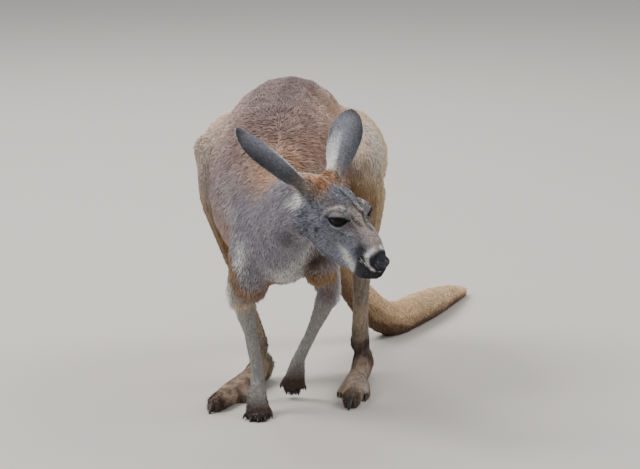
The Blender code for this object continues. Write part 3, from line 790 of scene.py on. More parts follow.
# Patches of the trunk: colour, share, how much the share wanders, place, radii (mm)
TRUNK_PATCHES = [
    # painted shade down the middle of the back, between its lit edges
    ("spine", 1.0, 0, ("rump", -0.05, -0.35, 0.9), (66, 230, 120)),
    ("shoulder", 1.0, 0, ("chest", 0, -0.9, 0.0), (150, 85, 150)),
    ("rufous", 0.6, 0.6, ("chest", 0.35, -0.45, 0.6), (58, 60, 56)),
    ("haunch", 0.5, 0, ("rump", 0.8, 0.1, -0.1), (40, 120, 90)),
    ("rufous", 0.6, 0.6, ("chest", -0.35, -0.45, 0.6), (58, 60, 56)),
    ("haunch", 0.5, 0, ("rump", -0.8, 0.1, -0.1), (40, 120, 90)),
]
# Patches of the limbs: colour, share, how much it wanders, part, then the place as above
LIMB_PATCHES = [
    ("forearm", 0.8, 0, "hand", "hand", (0, 0, 1), (0, 0, 0), (40, 40, 24)),
    ("finger", 0.8, 0.5, "hand", "middle_claw", (0, 0, 0), (0, 0, 4), (34, 24, 16)),
    ("toe", 0.75, 0.5, "foot", "fourth_toe_claw", (0, 0, 0), (0, 8, 0), (26, 22, 24)),
    ("back", 0.4, 0, "thigh", "thigh", (-0.6, 0.2, 0.9), (0, 0, 0), (50, 150, 50)),
]
# Marks of the body: colour, width (mm), share, path of places by node
BODY_MARKS = [
    ("white", 24, 0.95, {"chest": [(0.1, -0.5, -1.0), (0.4, -0.8, -0.72), (0.6, -0.7, -0.5)]}),
    ("shoulder", 70, 0.65, {"chest": [(-0.85, 0.0, 0.1)], "rump": [(-0.85, -0.5, 0.1)]}),
    # painted shadow under the jaw, on the neck
    ("ear_rim", 17, 0.65, {"neck": [(-0.03, -0.5, -0.46), (0.15, -0.6, -0.65)]}),
    # painted highlight along the lit edge of the right shoulder
    ("white", 12, 0.5, {"right_upper_arm": [(-0.95, 0.1, 0.8), (-0.98, 0.0, 0.2)]}),
    ("shoulder", 30, 0.95, {"right_upper_arm": [(-0.3, -0.8, 0.6), (-0.1, -0.8, -0.3)]}),
    ("shoulder", 24, 0.95, {"right_upper_arm": [(-0.3, -0.6, -0.3), (0.3, -0.7, -0.4)]}),
    ("white", 13, 0.8, {"right_upper_arm": [(-0.37, -0.79, 0.0), (-0.42, -0.75, -0.35)]}),
    ("tan", 15, 1.0, {
        "right_upper_arm": [
            (-0.8, -0.3, -0.35), (-0.5, -0.5, -0.75), (0.1, -0.7, -0.85), (0.7, -0.5, -0.75),
            (1.0, -0.3, -0.3),
        ],
    }),
    ("tan", 14, 0.9, {"right_upper_arm": [(-0.95, 0.0, 0.2), (-0.9, 0.0, -0.4)]}),
    # painted shadow under the throat, over the left upper arm
    ("umber", 16, 0.9, {"left_upper_arm": [(0.0, -0.75, -0.2), (0.67, -0.66, -0.15)]}),
    ("finger", 13, 0.55, {"left_upper_arm": [(0.1, -0.75, -0.25), (0.6, -0.66, -0.15)]}),
    ("umber", 15, 0.75, {"left_upper_arm": [(0.3, -0.31, -0.8), (0.6, -0.31, -0.85)]}),
    ("tan", 14, 0.95, {
        "left_upper_arm": [(0.0, -0.75, -0.56), (0.4, -0.68, -0.5), (0.8, -0.3, -0.5)],
    }),
    ("white", 7, 0.95, {"left_upper_arm": [(0.98, 0.0, -0.3), (0.95, 0.1, -0.9)]}),
    ("white", 15, 0.95, {
        "right_upper_arm": [(-0.95, -0.1, -0.8)],
        "right_forearm": [(-0.9, -0.3, 1.0), (-0.95, -0.4, 0.05)],
    }),
    ("rufous", 36, 0.45, {"left_thigh": [(-0.8, -0.5, 0.8), (-0.7, -0.8, 0.1)]}),
    ("rufous", 36, 0.45, {"right_thigh": [(0.8, -0.5, 0.8), (0.7, -0.8, 0.1)]}),
    # cream fur and painted highlight on the top edge of the left haunch
    ("white", 26, 0.5, {"left_thigh": [(0.33, -0.55, 0.87), (0.79, -0.86, 0.38)]}),
    ("tan", 24, 0.7, {"right_shank": [(-0.79, -0.37, 0.62), (-0.79, -0.37, 0.3)]}),
    ("umber", 22, 0.4, {"right_shank": [(-0.79, -0.37, 0.58), (-0.79, -0.37, 0.3)]}),
    ("tan", 24, 0.5, {"right_shank": [(-0.06, -0.45, 0.2), (-0.06, -0.45, 0.0)]}),
    ("shank", 20, 0.6, {"right_foot": [(0.63, 0.55, 0.9), (0.63, 0.55, 0.6)]}),
    ("haunch", 12, 0.7, {"right_forearm": [(-0.5, -0.8, 0.85), (0.1, -0.8, 0.85)]}),
    ("haunch", 22, 0.5, {"left_shank": [(-0.2, 0.33, -0.65), (-0.2, 0.33, -0.8)]}),
    # painted light on the inner back of the right shank, which lies in shade
    ("haunch", 26, 0.4, {"right_shank": [(0.5, 0.2, -0.3), (0.5, 0.4, -0.8)]}),
    ("toe", 20, 0.6, {"left_foot": [(-0.14, 0.5, 0.17), (0.1, 0.55, 0.3)]}),
    ("foot", 12, 0.6, {"left_foot": [(-0.03, -0.6, 0.0), (-0.03, -0.82, -0.2)]}),
    ("ear_rim", 12, 0.6, {"right_ear": [(0.85, 0.35, -0.47), (0.6, 0.2, -0.3)]}),
    ("white", 13, 0.3, {"left_foot": [(-0.03, -0.1, 0.1), (-0.03, -0.5, 0.0)]}),
    # painted shadow at the left edge of the chest's white
    ("umber", 13, 0.8, {"chest": [(0.56, -0.75, -0.6), (0.75, -0.6, -0.4)]}),
]


# Rounds of spreading that soften the borders between parts
NEAR_SPREAD, FINE_SPREAD, WIDE_SPREAD = 14, 4, 150


def base_colours(found, surface):
    """Colour of each part, blended over its borders as slowly as the real coat does."""
    tints = settings("colours")
    chart = np.array([list(getattr(tints, row_for(BASE_TINTS, node))) for node in COATED])[found]
    small = on_words(found, "ear", "hand")[:, None]
    out = np.where(small, surface.spread(chart, FINE_SPREAD), surface.spread(chart, NEAR_SPREAD))
    broad = on_words(found, "thigh", "rump", "tail", "shank", "foot").astype(float)
    broad = surface.spread(broad, 10)[:, None]
    return out * (1 - broad) + surface.spread(chart, WIDE_SPREAD) * broad


def paint_trunk(paint, points, normals, found, wander):
    """Back, shoulders, flanks and belly."""
    trunk = on_nodes(found, "neck", "chest", "rump")
    for tint, share, vary, place, radii in TRUNK_PATCHES:
        paint.lay(tint, patch(points, spot(*place), radii) * trunk * (share + vary * wander))
    belly = np.clip((-normals[:, 2] - 0.55) * 2.6, 0, 1) * on_nodes(found, "chest", "rump")
    paint.lay("white", belly * 0.9)


def paint_limbs(paint, points, normals, found, wander):
    """Haunches, shanks, feet and hands."""
    height = points[:, 2]
    flecks = lattice_noise(points, 0.008, 42)
    dirt = np.clip(lattice_noise(points, 0.011, 41) * 1.4 + wander + 0.1, 0, 0.7)
    for side, sign in SIDES.items():
        own = {part: on_nodes(found, f"{side}_{part}") for part in LIMBS}
        thigh, shank, foot = own["thigh"], own["shank"], own["foot"]
        paint.lay("white", np.clip(-normals[:, 0] * sign * 1.5, 0, 1) * thigh * 0.5)
        for tint, share, vary, part, *place in LIMB_PATCHES:
            near = limb_patch(points, side, *place)
            paint.lay(tint, near * own[part] * (share + vary * wander))
        low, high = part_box(f"{side}_shank")
        part = (height - low.z) / (high.z - low.z)
        paint.lay("haunch", np.clip((part - 0.42) * 3, 0, 1) * shank * 0.9)
        # Tan and umber on the forward-facing lower thighs and upper shanks: partly the limbs' own
        # tan, partly painted shade that deepens towards the bottom
        front = ramp(height, 0.40, -0.06) * np.clip(0.2 - normals[:, 1], 0, 1)
        front *= thigh + shank * np.clip((part - 0.3) * 3, 0, 1)
        paint.lay("tan", front * 0.65 * (1 + wander))
        paint.lay("umber", front * 0.35 * (1 + wander))
        blotch = np.clip(0.6 + wander * 1.8 + flecks * 1.4, 0, 1) * np.clip((0.8 - part) * 3, 0, 1)
        paint.lay("mottle", blotch * shank * 0.6)
        paint.lay("toe", dirt * foot * (0.5 if side == "left" else 0.8))
        heel = limb_patch(points, side, "foot", (0, 0.75, 0.5), (0, 0, 0), (40, 46, 46))
        paint.lay("toe", heel * foot * np.clip(0.55 + wander * 2.2, 0, 0.8))
        for edge in (-0.9, 0.9):
            places = ((edge, -0.55, -0.4), (edge * 0.85, 0.1, -0.3))
            fringe = stroke(points, [spot(f"{side}_foot", *place) for place in places], 8)
            paint.lay("white", fringe * foot * 0.85 * (1 + wander))


def coat_colours(points, normals, found, surface):
    """Colour of the coat at each point of the skin."""
    wander = lattice_noise(points, 0.045, 3) * 0.5 + lattice_noise(points, 0.018, 4) * 0.3
    paint = Paint(base_colours(found, surface))
    paint_trunk(paint, points, normals, found, wander)
    paint_limbs(paint, points, normals, found, wander)
    for tint, width, share, marks in BODY_MARKS:
        path = [spot(node, *place) for node, places in marks.items() for place in places]
        near = stroke(points, path, width)
        paint.lay(tint, near * share * (1 + 0.5 * wander))
    # Painted shade: the tail darkens where it faces down
    under = np.clip(0.3 - normals[:, 2] * 1.3, 0, 1)
    paint.lay("tail_under", under * on_words(found, "tail") * 0.95)
    paint_face(paint, HEAD.measure(points), on_nodes(found, "head", "lower_jaw", "neck"), wander)
    for side, sign in SIDES.items():
        paint_ear(paint, points, normals, on_nodes(found, f"{side}_ear"), sign)
    return np.clip(paint.colours * (1 + 0.10 * wander[:, None]), 0.004, 1)


# Stripes of the face: colour, width, share, head places
FACE_STRIPES = [
    ("white", 7.0, 1.0, [(63, 23, -28), (57, 22, -33), (49, 21, -38), (40, 19, -44)]),
    ("white", 4.5, 0.55, [(80, 28, -22), (72, 25, -26), (63, 23, -28)]),
    ("white", 3.0, 0.45, [(66, 22, 8), (78, 29, 2), (92, 34, 0), (106, 35, 4)]),
    ("umber", 5.5, 0.36, [(86, 24, 24), (75, 22, 18), (62, 18, 12), (48, 17, 4)]),
    ("umber", 3.0, 0.7, [(78, 22, 22), (72, 21, 20)]),
    # painted shade beneath the lower lid
    ("muzzle", 7.0, 0.55, [(82, 30, 0), (96, 35, -7), (112, 36, -4)]),
    ("white", 1.5, 0.6, [(103, 33.5, -1), (98, 33.5, 0), (91, 32, 4), (84, 29, 9)]),
    ("white", 2.4, 0.45, [(124, 33, 8), (116, 29, 20), (106, 23, 30), (96, 19, 32)]),
    ("rufous", 3.0, 0.2, [(122, 33, 8), (114, 30, 17), (104, 26, 24)]),
    # painted shadow along the lower edge of the cheek
    ("ear_rim", 6.0, 0.5, [(130, 32, -46), (108, 30, -50), (86, 24, -50), (70, 20, -48)]),
    # painted shade in the creases of the brow
    ("ear_rim", 1.8, 0.6, [(92, 21, 33), (99, 15, 33), (107, 10, 33)]),
    ("ear_rim", 1.8, 0.6, [(119, 32, 4), (112, 31, 18), (106, 30, 25), (93, 27, 30)]),
    ("ear_rim", 2.0, 0.5, [(127, 34, 0), (125, 30, 12), (113, 24, 29), (102, 16, 33)]),
]
CROWN = [(178, 14, 28), (168, 8, 32), (156, 14, 32)]
BROAD = 12  # width of the crown's stripe and the cheek's
CHEEK_SHADE = [(84, 30, -22), (106, 38, -30), (124, 34, -48)]
# Patches of the head: colour, share, centre, radii, in the order of the layers
UNDER_PATCHES = [
    ("buff", 0.85, (170, 12, 28), (22, 22, 16)),
    ("buff", 0.5, (152, 24, 22), (20, 9, 14)),
    ("buff", 0.9, (188, 4, 18), (18, 24, 20)),
]
BROW_PATCHES = [
    ("brow", 0.6, (106, 24, 26), (18, 9, 7)),
    ("ear_rim", 0.45, (126, 8, 34), (26, 22, 14)),
]
WHITE_PATCHES = [
    ("white", 0.7, (112, 0, -66), (52, 30, 10)),  # throat
    ("white", 0.95, (174, 44, -2), (15, 12, 15)),  # under the ear
]
NOSTRIL_PATCHES = [
    ("nose", 1.8, (16, 12, -9), (8, 5.5, 6.5)),
    ("nose", 2.5, (11, 0, -6), (12, 14, 12)),
]
LAST_PATCHES = [
    ("muzzle", 1.0, (120, 36, -24), (3.5, 3.5, 3.5)),  # cheek spot
    ("ear_rim", 0.3, (98, 34, 12), (19, 10, 8)),  # round the eye
]

# Crease from the forehead along the left edge of the nasal bridge: sunk in the skin, painted dark
# as painted shade, with a painted highlight on the fold beside it
BROW_VEIN = [(132, 1, 34), (112, 4, 34), (96, 6, 33), (84, 8, 30), (70, 9, 25), (56, 9, 21)]
FOLD_SHIFT = (0, 6, 0)  # from the crease to the pale fold beside it
VEIN_WIDTH, FOLD_WIDTH, LIP_PATCH_WIDTH, LIP_LINE_WIDTH = 2.7, 3.5, 3.6, 1.1

# Pale patch behind the nostril and thin pale lines along the lips
LIP_PATCH = [(27, 6, 7), (30, 11, 2), (30, 16, -4), (27, 18, -9), (20, 17, -14), (12, 14, -18)]
LIP_LINES = [
    [(40, 20, -14), (34, 19.5, -17), (24, 18, -19.5), (10, 13, -20.5), (4, 5, -20)],
    [(36, 20, -21), (28, 19, -22.5)],
]


def paint_face(paint, measured, head, wander):
    """Markings of the head."""
    back, side, rise = measured.T
    flat = np.stack([back, np.abs(side), rise], 1) * MM

    def lay_patches(rows):
        for tint, share, centre, radii in rows:
            paint.lay(tint, head_patch(measured, centre, radii) * head * share)

    def hugged(places):
        return hug(np.array(places) * MM, flat[head])

    bridge = np.clip(1.5 - np.abs(side) / 14, 0, 1) * ramp(rise, -2, 9)
    bridge *= ramp(back, 14, 10) * ramp(back, 112, -16)
    paint.lay("bridge", bridge * head * 0.9)
    lay_patches(UNDER_PATCHES)
    vein = hug(np.array(BROW_VEIN) * MM, measured[head] * MM)
    # Painted highlight on the fold beside the crease, then painted shade in the crease
    fold = stroke(measured * MM, vein + np.array(FOLD_SHIFT) * MM, FOLD_WIDTH)
    paint.lay("white", fold * head * 0.3)
    crease = np.clip(stroke(measured * MM, vein, VEIN_WIDTH) * 1.3, 0, 0.85)
    paint.lay("ear_rim", crease * head)
    paint.lay("crown", stroke(flat, np.array(CROWN) * MM, BROAD) * head * (0.8 + 1.2 * wander))
    lay_patches(BROW_PATCHES)
    for tint, width, share, places in FACE_STRIPES:
        path = hugged(places) if width < THIN else np.array(places) * MM
        paint.lay(tint, stroke(flat, path, width) * head * share * (1 + 0.6 * wander))
    paint.lay("ear", stroke(flat, np.array(CHEEK_SHADE) * MM, BROAD) * head * 0.6)
    lay_patches(WHITE_PATCHES)
    dark = ramp(46 + rise * 0.1 - back, 0, 5) * ramp(rise, -6, -6)
    dark = np.maximum(dark, head_patch(measured, (43, 17, -8), (8, 8, 12)) * 0.8)
    paint.lay("muzzle", dark * head * (0.97 + 0.2 * wander))
    lip = stroke(flat, hugged(LIP_PATCH), LIP_PATCH_WIDTH) * 1.3
    flecks = lattice_noise(measured, 3.2, 12) * 0.9 + lattice_noise(measured, 1.6, 13) * 0.5
    paint.lay("white", np.clip(lip * (0.8 + flecks), 0, 1) * head)
    lay_patches(NOSTRIL_PATCHES)
    for places in LIP_LINES:
        near = stroke(flat, hugged(places), LIP_LINE_WIDTH)
        paint.lay("white", np.clip(near * (0.45 + flecks), 0, 1) * head)
    lay_patches(LAST_PATCHES)


def paint_ear(paint, points, normals, ear, side):
    """Dark back and rim, pale inside and root."""
    root, along, opening, across = ear_frame(side)
    part = (points - root) @ along / (EAR_LENGTH * MM)
    aside = (points - root) @ across / MM
    outer = aside * side
    inside = np.clip(normals @ opening * 3 - 0.2, 0, 1)
    rim = ramp(np.abs(aside), 19, 8) * np.clip(part * 3 - 0.8, 0, 1)
    rim += np.clip((part - 0.84) * 7, 0, 1)
    paint.lay("buff", np.clip(1.2 - part * 4.6, 0, 1) * ear * 0.55)
    pale = np.clip(1.5 - part * 2.2, 0, 1) * np.clip(outer / 6 - 0.1, 0, 1)
    paint.lay("white", pale * ear * 0.9)
    paint.lay("ear_rim", np.clip(-outer / 12 - 0.4, 0, 1) * ear * 0.5)
    paint.lay("ear_rim", rim * ear * 0.85)
    paint.lay("white", inside * ear * 0.6)


# ---------------------------------------------------------------- building the skin

MOST_POLISH = 70
FINE_PARTS = ("head", "jaw", "hand", "foot", "forearm")
HOLLOW_PARTS = ("thigh", "rump", "chest", "tail_root")  # creases between them are filled
HOLLOW_SPREAD, HOLLOW_FILL = 120, 0.8
RESTING = 2.5  # height below which a point rests on the floor
WEIGHT_LEVELS = 8


def shaped_flesh():
    """The flesh as one smooth form, inside the solids by the depth of the coat."""
    flesh = settings("flesh")
    piece = flesh_piece(flesh.voxel)
    surface = Surface(piece.data)
    found = labels(surface.points)
    rounds = surface.spread(REGION_ROWS[found, POLISH], 12)
    surface.polish(rounds / MOST_POLISH, MOST_POLISH)
    filled = surface.spread(on_words(found, *HOLLOW_PARTS).astype(float), 40)
    normals = unit(surface.normals())
    hollow = ((surface.spread(surface.points, HOLLOW_SPREAD) - surface.points) * normals).sum(1)
    surface.points += normals * (np.maximum(hollow, 0) * filled * HOLLOW_FILL)[:, None]
    surface.store()
    start = surface.points.copy()
    depth = surface.spread(REGION_ROWS[found, DEPTH], 25)
    surface.points -= unit(surface.normals()) * (depth[:, None] + GROWTH) * MM
    resting = start[:, 2] < RESTING * MM
    surface.points[resting, 2] = np.maximum(start[resting, 2], 0.0)
    surface.store()
    coarse = piece.vertex_groups.new(name="coarse")
    weight = surface.spread((~on_words(found, *FINE_PARTS)).astype(float), 6)
    for level in range(1, WEIGHT_LEVELS + 1):
        chosen = np.flatnonzero(weight > (level - 0.5) / WEIGHT_LEVELS)
        coarse.add(chosen.tolist(), level / WEIGHT_LEVELS, "REPLACE")
    share = flesh.faces / (2 * len(piece.data.polygons))
    return modified(
        piece, "DECIMATE", ratio=share, vertex_group="coarse", vertex_group_factor=4.0,
    )


def unite(piece, mesh):
    """Join another closed mesh to a piece."""
    other = new_piece("other", mesh)
    modified(piece, "BOOLEAN", object=other, operation="UNION", solver="MANIFOLD")
    bpy.data.objects.remove(other, do_unlink=True)


def press(surface, path, width, height, normals=None):
    """Raise the skin along a path by a height, or sink it where that is below 0 (mm)."""
    normals = unit(surface.normals()) if normals is None else normals
    surface.points += normals * (stroke(surface.points, path, width) * height * MM)[:, None]


def sculpt_face(surface):
    """Folds, lids, mouth and nose of the head."""
    for side in (LEFT, RIGHT):
        for width, height, places in FACE_STROKES:
            path = head_path(side, *places)
            press(surface, hug(path, surface.points) if width < THIN else path, width, height)
        press(surface, head_path(side, *MOUTH), 1.5, -2.0)
        open_eye(surface, side)
    press(surface, hug(head_path(LEFT, *BROW_VEIN), surface.points), 2.4, -1.4)
    press(surface, head_path(LEFT, *PHILTRUM), 1.4, -1.2)
    press(surface, [middle("nose")], 17.0, 1.5)


# Masses and hollows of the body: node, place in its box, width, height (mm)
BODY_STROKES = [
    ("shank", [(0, 0.75, 0.0), (0, 0.85, -0.6)], 9, -2.0),
    ("shank", [(0.5, 0.1, 0.1), (0.4, 0.4, -0.5)], 8, -1.0),
    ("upper_arm", [(0.2, 0.7, -0.8), (0.2, 0.8, -0.95)], 12, 3.0),
    ("forearm", [(0, -0.8, 0.6), (0, -0.8, -0.2)], 6, -0.8),
]


def sculpt_body(surface):
    """Tendons, elbows, the gaps between fingers and loose folds of the shoulders and rump."""
    normals = unit(surface.normals())
    for word, places, width, height in BODY_STROKES:
        for side, sign in SIDES.items():
            path = [spot(f"{side}_{word}", x * sign, y, z) for x, y, z in places]
            press(surface, path, width, height, normals)
    for side in SIDES:
        palm = middle(f"{side}_hand")
        for first, second in zip(FINGERS, FINGERS[1:]):
            between = (middle(f"{side}_{first}_claw") + middle(f"{side}_{second}_claw")) / 2
            root = between.lerp(palm, 0.6) + Vector((0, 0, 0.006))
            press(surface, [between + Vector((0, 0, 0.004)), root], 2.4, -2.6, normals)
    ripple = lattice_noise(surface.points * np.array([1, 1, 0.6]), 0.026, 9)
    loose = patch(surface.points, spot("chest", 0, -0.8, 0), (150, 130, 150))
    surface.points += normals * (ripple * loose * 1.6 * MM)[:, None]
    swell = lattice_noise(surface.points, 0.07, 11)
    big = patch(surface.points, middle("rump"), (170, 260, 190))
    surface.points += normals * (swell * big * 1.6 * MM)[:, None]


def keep_off_floor(surface, start):
    """Leave resting points on the floor after sculpting."""
    resting = start[:, 2] < RESTING * MM
    surface.points[resting, 2] = start[resting, 2]
    surface.points[:, 2] = np.maximum(surface.points[:, 2], 0.0)


def store_colours(mesh, name, colours):
    """Point colour attribute from an array."""
    attribute = mesh.attributes.get(name) or mesh.attributes.new(name, "FLOAT_COLOR", "POINT")
    full = np.ones((len(colours), 4), np.float32)
    full[:, :3] = colours
    attribute.data.foreach_set("color", full.ravel())


BARE_LID, BARE_NOSE = 0.7, 17  # reach over the eyeball, and from the middle of the nose (mm)
NOSTRIL_FLOOR = [(10, 10, -12), (20, 14, -10)]


def bare_places(points):
    """1 where the skin carries no coat: behind the lids, in the mouth and at the nose."""
    bare = np.zeros(len(points))
    for side in (LEFT, RIGHT):
        reach = np.linalg.norm(points - eye_axes(side)[0], axis=1)
        bare = np.maximum(bare, reach < (EYE_RADIUS + BARE_LID) * MM)
        bare = np.maximum(bare, stroke(points, head_path(side, *MOUTH[:5]), 1.6) > 0.55)
        bare = np.maximum(bare, stroke(points, head_path(side, *NOSTRIL_FLOOR), 4.0) > 0.6)
    nose = np.array(middle("nose"))
    return np.maximum(bare, np.linalg.norm(points - nose, axis=1) < BARE_NOSE * MM)


class KANGAROO_OT_skin(bpy.types.Operator):
    """Make the skin with its folds, lids and ears, in place of the solids of flesh"""

    bl_idname = "kangaroo.skin"
    bl_label = "Skin"

    def execute(self, context):
        piece = shaped_flesh()
        for side, sign in SIDES.items():
            unite(piece, ear_mesh(f"{side} ear", sign))
        refine_face(piece)
        mesh = piece.data
        surface = Surface(mesh)
        start = surface.points.copy()
        sculpt_body(surface)
        surface.store()
        sculpt_face(surface)
        keep_off_floor(surface, start)
        surface.store()
        mesh.shade_smooth()
        found = labels(surface.points)
        colours = coat_colours(surface.points, unit(surface.normals()), found, surface)
        store_colours(mesh, "coat_colour", colours)
        mesh.materials.clear()
        mesh.materials.append(skin_material())
        seated(piece, "grey coat", *COATED)
        return {"FINISHED"}


# ---------------------------------------------------------------- materials


def shader(name, colour_source, roughness, **values):
    """Material with one Principled shader; colour_source is a colour or an attribute's name."""
    material = bpy.data.materials.new(name)
    material.use_nodes = True
    tree = material.node_tree
    surface = tree.nodes["Principled BSDF"]
    surface.inputs["Roughness"].default_value = roughness
    for key, value in values.items():
        surface.inputs[key.replace("_", " ")].default_value = value
    if isinstance(colour_source, str):
        source = tree.nodes.new("ShaderNodeAttribute")
        source.attribute_name = colour_source
        tree.links.new(source.outputs["Color"], surface.inputs["Base Color"])
    else:
        surface.inputs["Base Color"].default_value = (*colour_source, 1)
    return material, tree, surface


def texture_on(tree, kind, **values):
    """Texture node on object coordinates."""
    place = tree.nodes.new("ShaderNodeTexCoord")
    texture = tree.nodes.new(kind)
    for key, value in values.items():
        texture.inputs[key].default_value = value
    tree.links.new(place.outputs["Object"], texture.inputs["Vector"])
    return texture


def noise_on(tree, scale, detail):
    """Factor of a noise texture on object coordinates."""
    return texture_on(tree, "ShaderNodeTexNoise", Scale=scale, Detail=detail).outputs["Fac"]


def add_bump(tree, surface, source, strength, distance):
    """Bump from a texture's factor."""
    bump = tree.nodes.new("ShaderNodeBump")
    bump.inputs["Strength"].default_value = strength
    bump.inputs["Distance"].default_value = distance
    tree.links.new(source, bump.inputs["Height"])
    tree.links.new(bump.outputs["Normal"], surface.inputs["Normal"])


def mapped(tree, source, before, after):
    """Output of a texture or attribute mapped from one range to another."""
    level = tree.nodes.new("ShaderNodeMapRange")
    for word, (low, high) in (("From", before), ("To", after)):
        level.inputs[f"{word} Min"].default_value = low
        level.inputs[f"{word} Max"].default_value = high
    tree.links.new(source, level.inputs["Value"])
    return level.outputs["Result"]


def scale_colour(tree, surface, colour_output, factor):
    """Base colour as a colour, or the one already there, times a factor."""
    base = surface.inputs["Base Color"]
    if colour_output is None and base.is_linked:
        colour_output = base.links[0].from_socket
    mix = tree.nodes.new("ShaderNodeVectorMath")
    mix.operation = "SCALE"
    if colour_output is None:
        mix.inputs[0].default_value = base.default_value[:3]
    else:
        tree.links.new(colour_output, mix.inputs[0])
    tree.links.new(factor, mix.inputs["Scale"])
    tree.links.new(mix.outputs["Vector"], base)


def vary_colour(tree, surface, source, low, high):
    """Multiply the base colour by a grey that follows a texture."""
    scale_colour(tree, surface, None, mapped(tree, source, (0.3, 0.7), (low, high)))


def skin_material():
    """Short flat under-fur: marked by the coat's colours, with a fine fibrous bump."""
    material, tree, surface = shader("under fur", "coat_colour", 0.85, Specular_IOR_Level=0.25)
    fibres = noise_on(tree, 900.0, 4.0)
    vary_colour(tree, surface, fibres, 0.55, 1.0)
    add_bump(tree, surface, fibres, 0.6, 1.2 * MM)
    return material


def coat_material():
    """Guard hairs: each tuft has its own colour from root to tip."""
    material, tree, surface = shader("guard hair", "coat_colour", 0.62, Specular_IOR_Level=0.35)
    vary_colour(tree, surface, noise_on(tree, 1400.0, 2.0), 0.82, 1.12)
    return material


# ---------------------------------------------------------------- the coat

MOST_TUFTS = 19500  # in one piece
LAYOUT_TRIANGLES = 9000  # in the light copy of the skin that is unwrapped
LAYOUT_EDGE = 0.002
BARE = 0.3  # no tuft grows where the skin is barer than this
# Rounds of spreading that soften the changes of the tufts between parts
TUFT_SPREAD, DENSITY_SPREAD, LIE_SPREAD = 10, 4, 24
# Share of the tuft length over the head, by how far behind the nose (mm)
HEAD_LENGTHS = ([0, 20, 50, 90, 140, 190], [0.32, 0.4, 0.6, 0.85, 1.15, 1.5])
# Patches of longer tufts: place as in LIMB_PATCHES, part or none, extra length and lift
LONG_TUFTS = [
    (("forearm", (0.6, 0, 0.95), (0, 0, 0), (30, 34, 34)), None, 0.7, 0.4),
    (("middle_claw", (0, 0, 0), (0, 4, 8), (32, 18, 14)), "hand", 1.0, 0),
    (("fourth_toe_claw", (0, 0, 0), (0, 16, 10), (30, 24, 20)), "foot", 0.7, 0),
]


def face_length(measured, head):
    """Share of the tuft length over the head: shortest at the nose and round the eyes."""
    back, side, rise = measured.T
    arm = (np.stack([back, np.abs(side), rise], 1) - (99, 32, 16)) / (24, 16, 14)
    share = np.interp(back, *HEAD_LENGTHS)
    share = share * np.interp(np.linalg.norm(arm, axis=1), [0.4, 1.4], [0.5, 1.0])
    return np.where(head, share, 1.0)


def skin_layout(mesh):
    """UV layout of a light copy of the skin, as a tree and its corners' places."""
    copy = new_piece("layout", mesh.copy())
    modified(copy, "DECIMATE", ratio=LAYOUT_TRIANGLES / len(mesh.polygons))
    for item in bpy.context.selected_objects:
        item.select_set(False)
    copy.select_set(True)
    bpy.context.view_layer.objects.active = copy
    bpy.ops.object.mode_set(mode="EDIT")
    bpy.ops.mesh.select_all(action="SELECT")
    bpy.ops.uv.smart_project(angle_limit=math.radians(66), island_margin=0.004)
    bpy.ops.object.mode_set(mode="OBJECT")
    light = copy.data
    light.calc_loop_triangles()
    places = np.empty(len(light.loops) * 2)
    light.uv_layers.active.data.foreach_get("uv", places)
    places = places.reshape(-1, 2)
    loops = np.array([triangle.loops[:] for triangle in light.loop_triangles])
    corners = np.array([triangle.vertices[:] for triangle in light.loop_triangles])
    points = np.array([vertex.co[:] for vertex in light.vertices])
    tree = BVHTree.FromPolygons(points.tolist(), corners.tolist())
    bpy.data.objects.remove(copy, do_unlink=True)
    return tree, points[corners], places[loops]


def on_layout(layout, roots):
    """Place of each root on the unwrapped skin."""
    tree, triangles, places = layout
    hits = np.array([tree.find_nearest(Vector(root))[2] for root in roots])
    first, second, third = (triangles[hits, corner] for corner in range(3))
    run, rise, arm = second - first, third - first, roots - first
    rr, ru, uu = (run * run).sum(1), (run * rise).sum(1), (rise * rise).sum(1)
    ar, au = (arm * run).sum(1), (arm * rise).sum(1)
    scale = np.maximum(rr * uu - ru * ru, 1e-18)
    share = np.clip(np.stack([(uu * ar - ru * au) / scale, (rr * au - ru * ar) / scale], 1), 0, 1)
    corners = places[hits]
    spot_on = corners[:, 0] + (corners[:, 1] - corners[:, 0]) * share[:, :1]
    spot_on += (corners[:, 2] - corners[:, 0]) * share[:, 1:]
    return np.clip(spot_on, LAYOUT_EDGE, 1 - LAYOUT_EDGE)


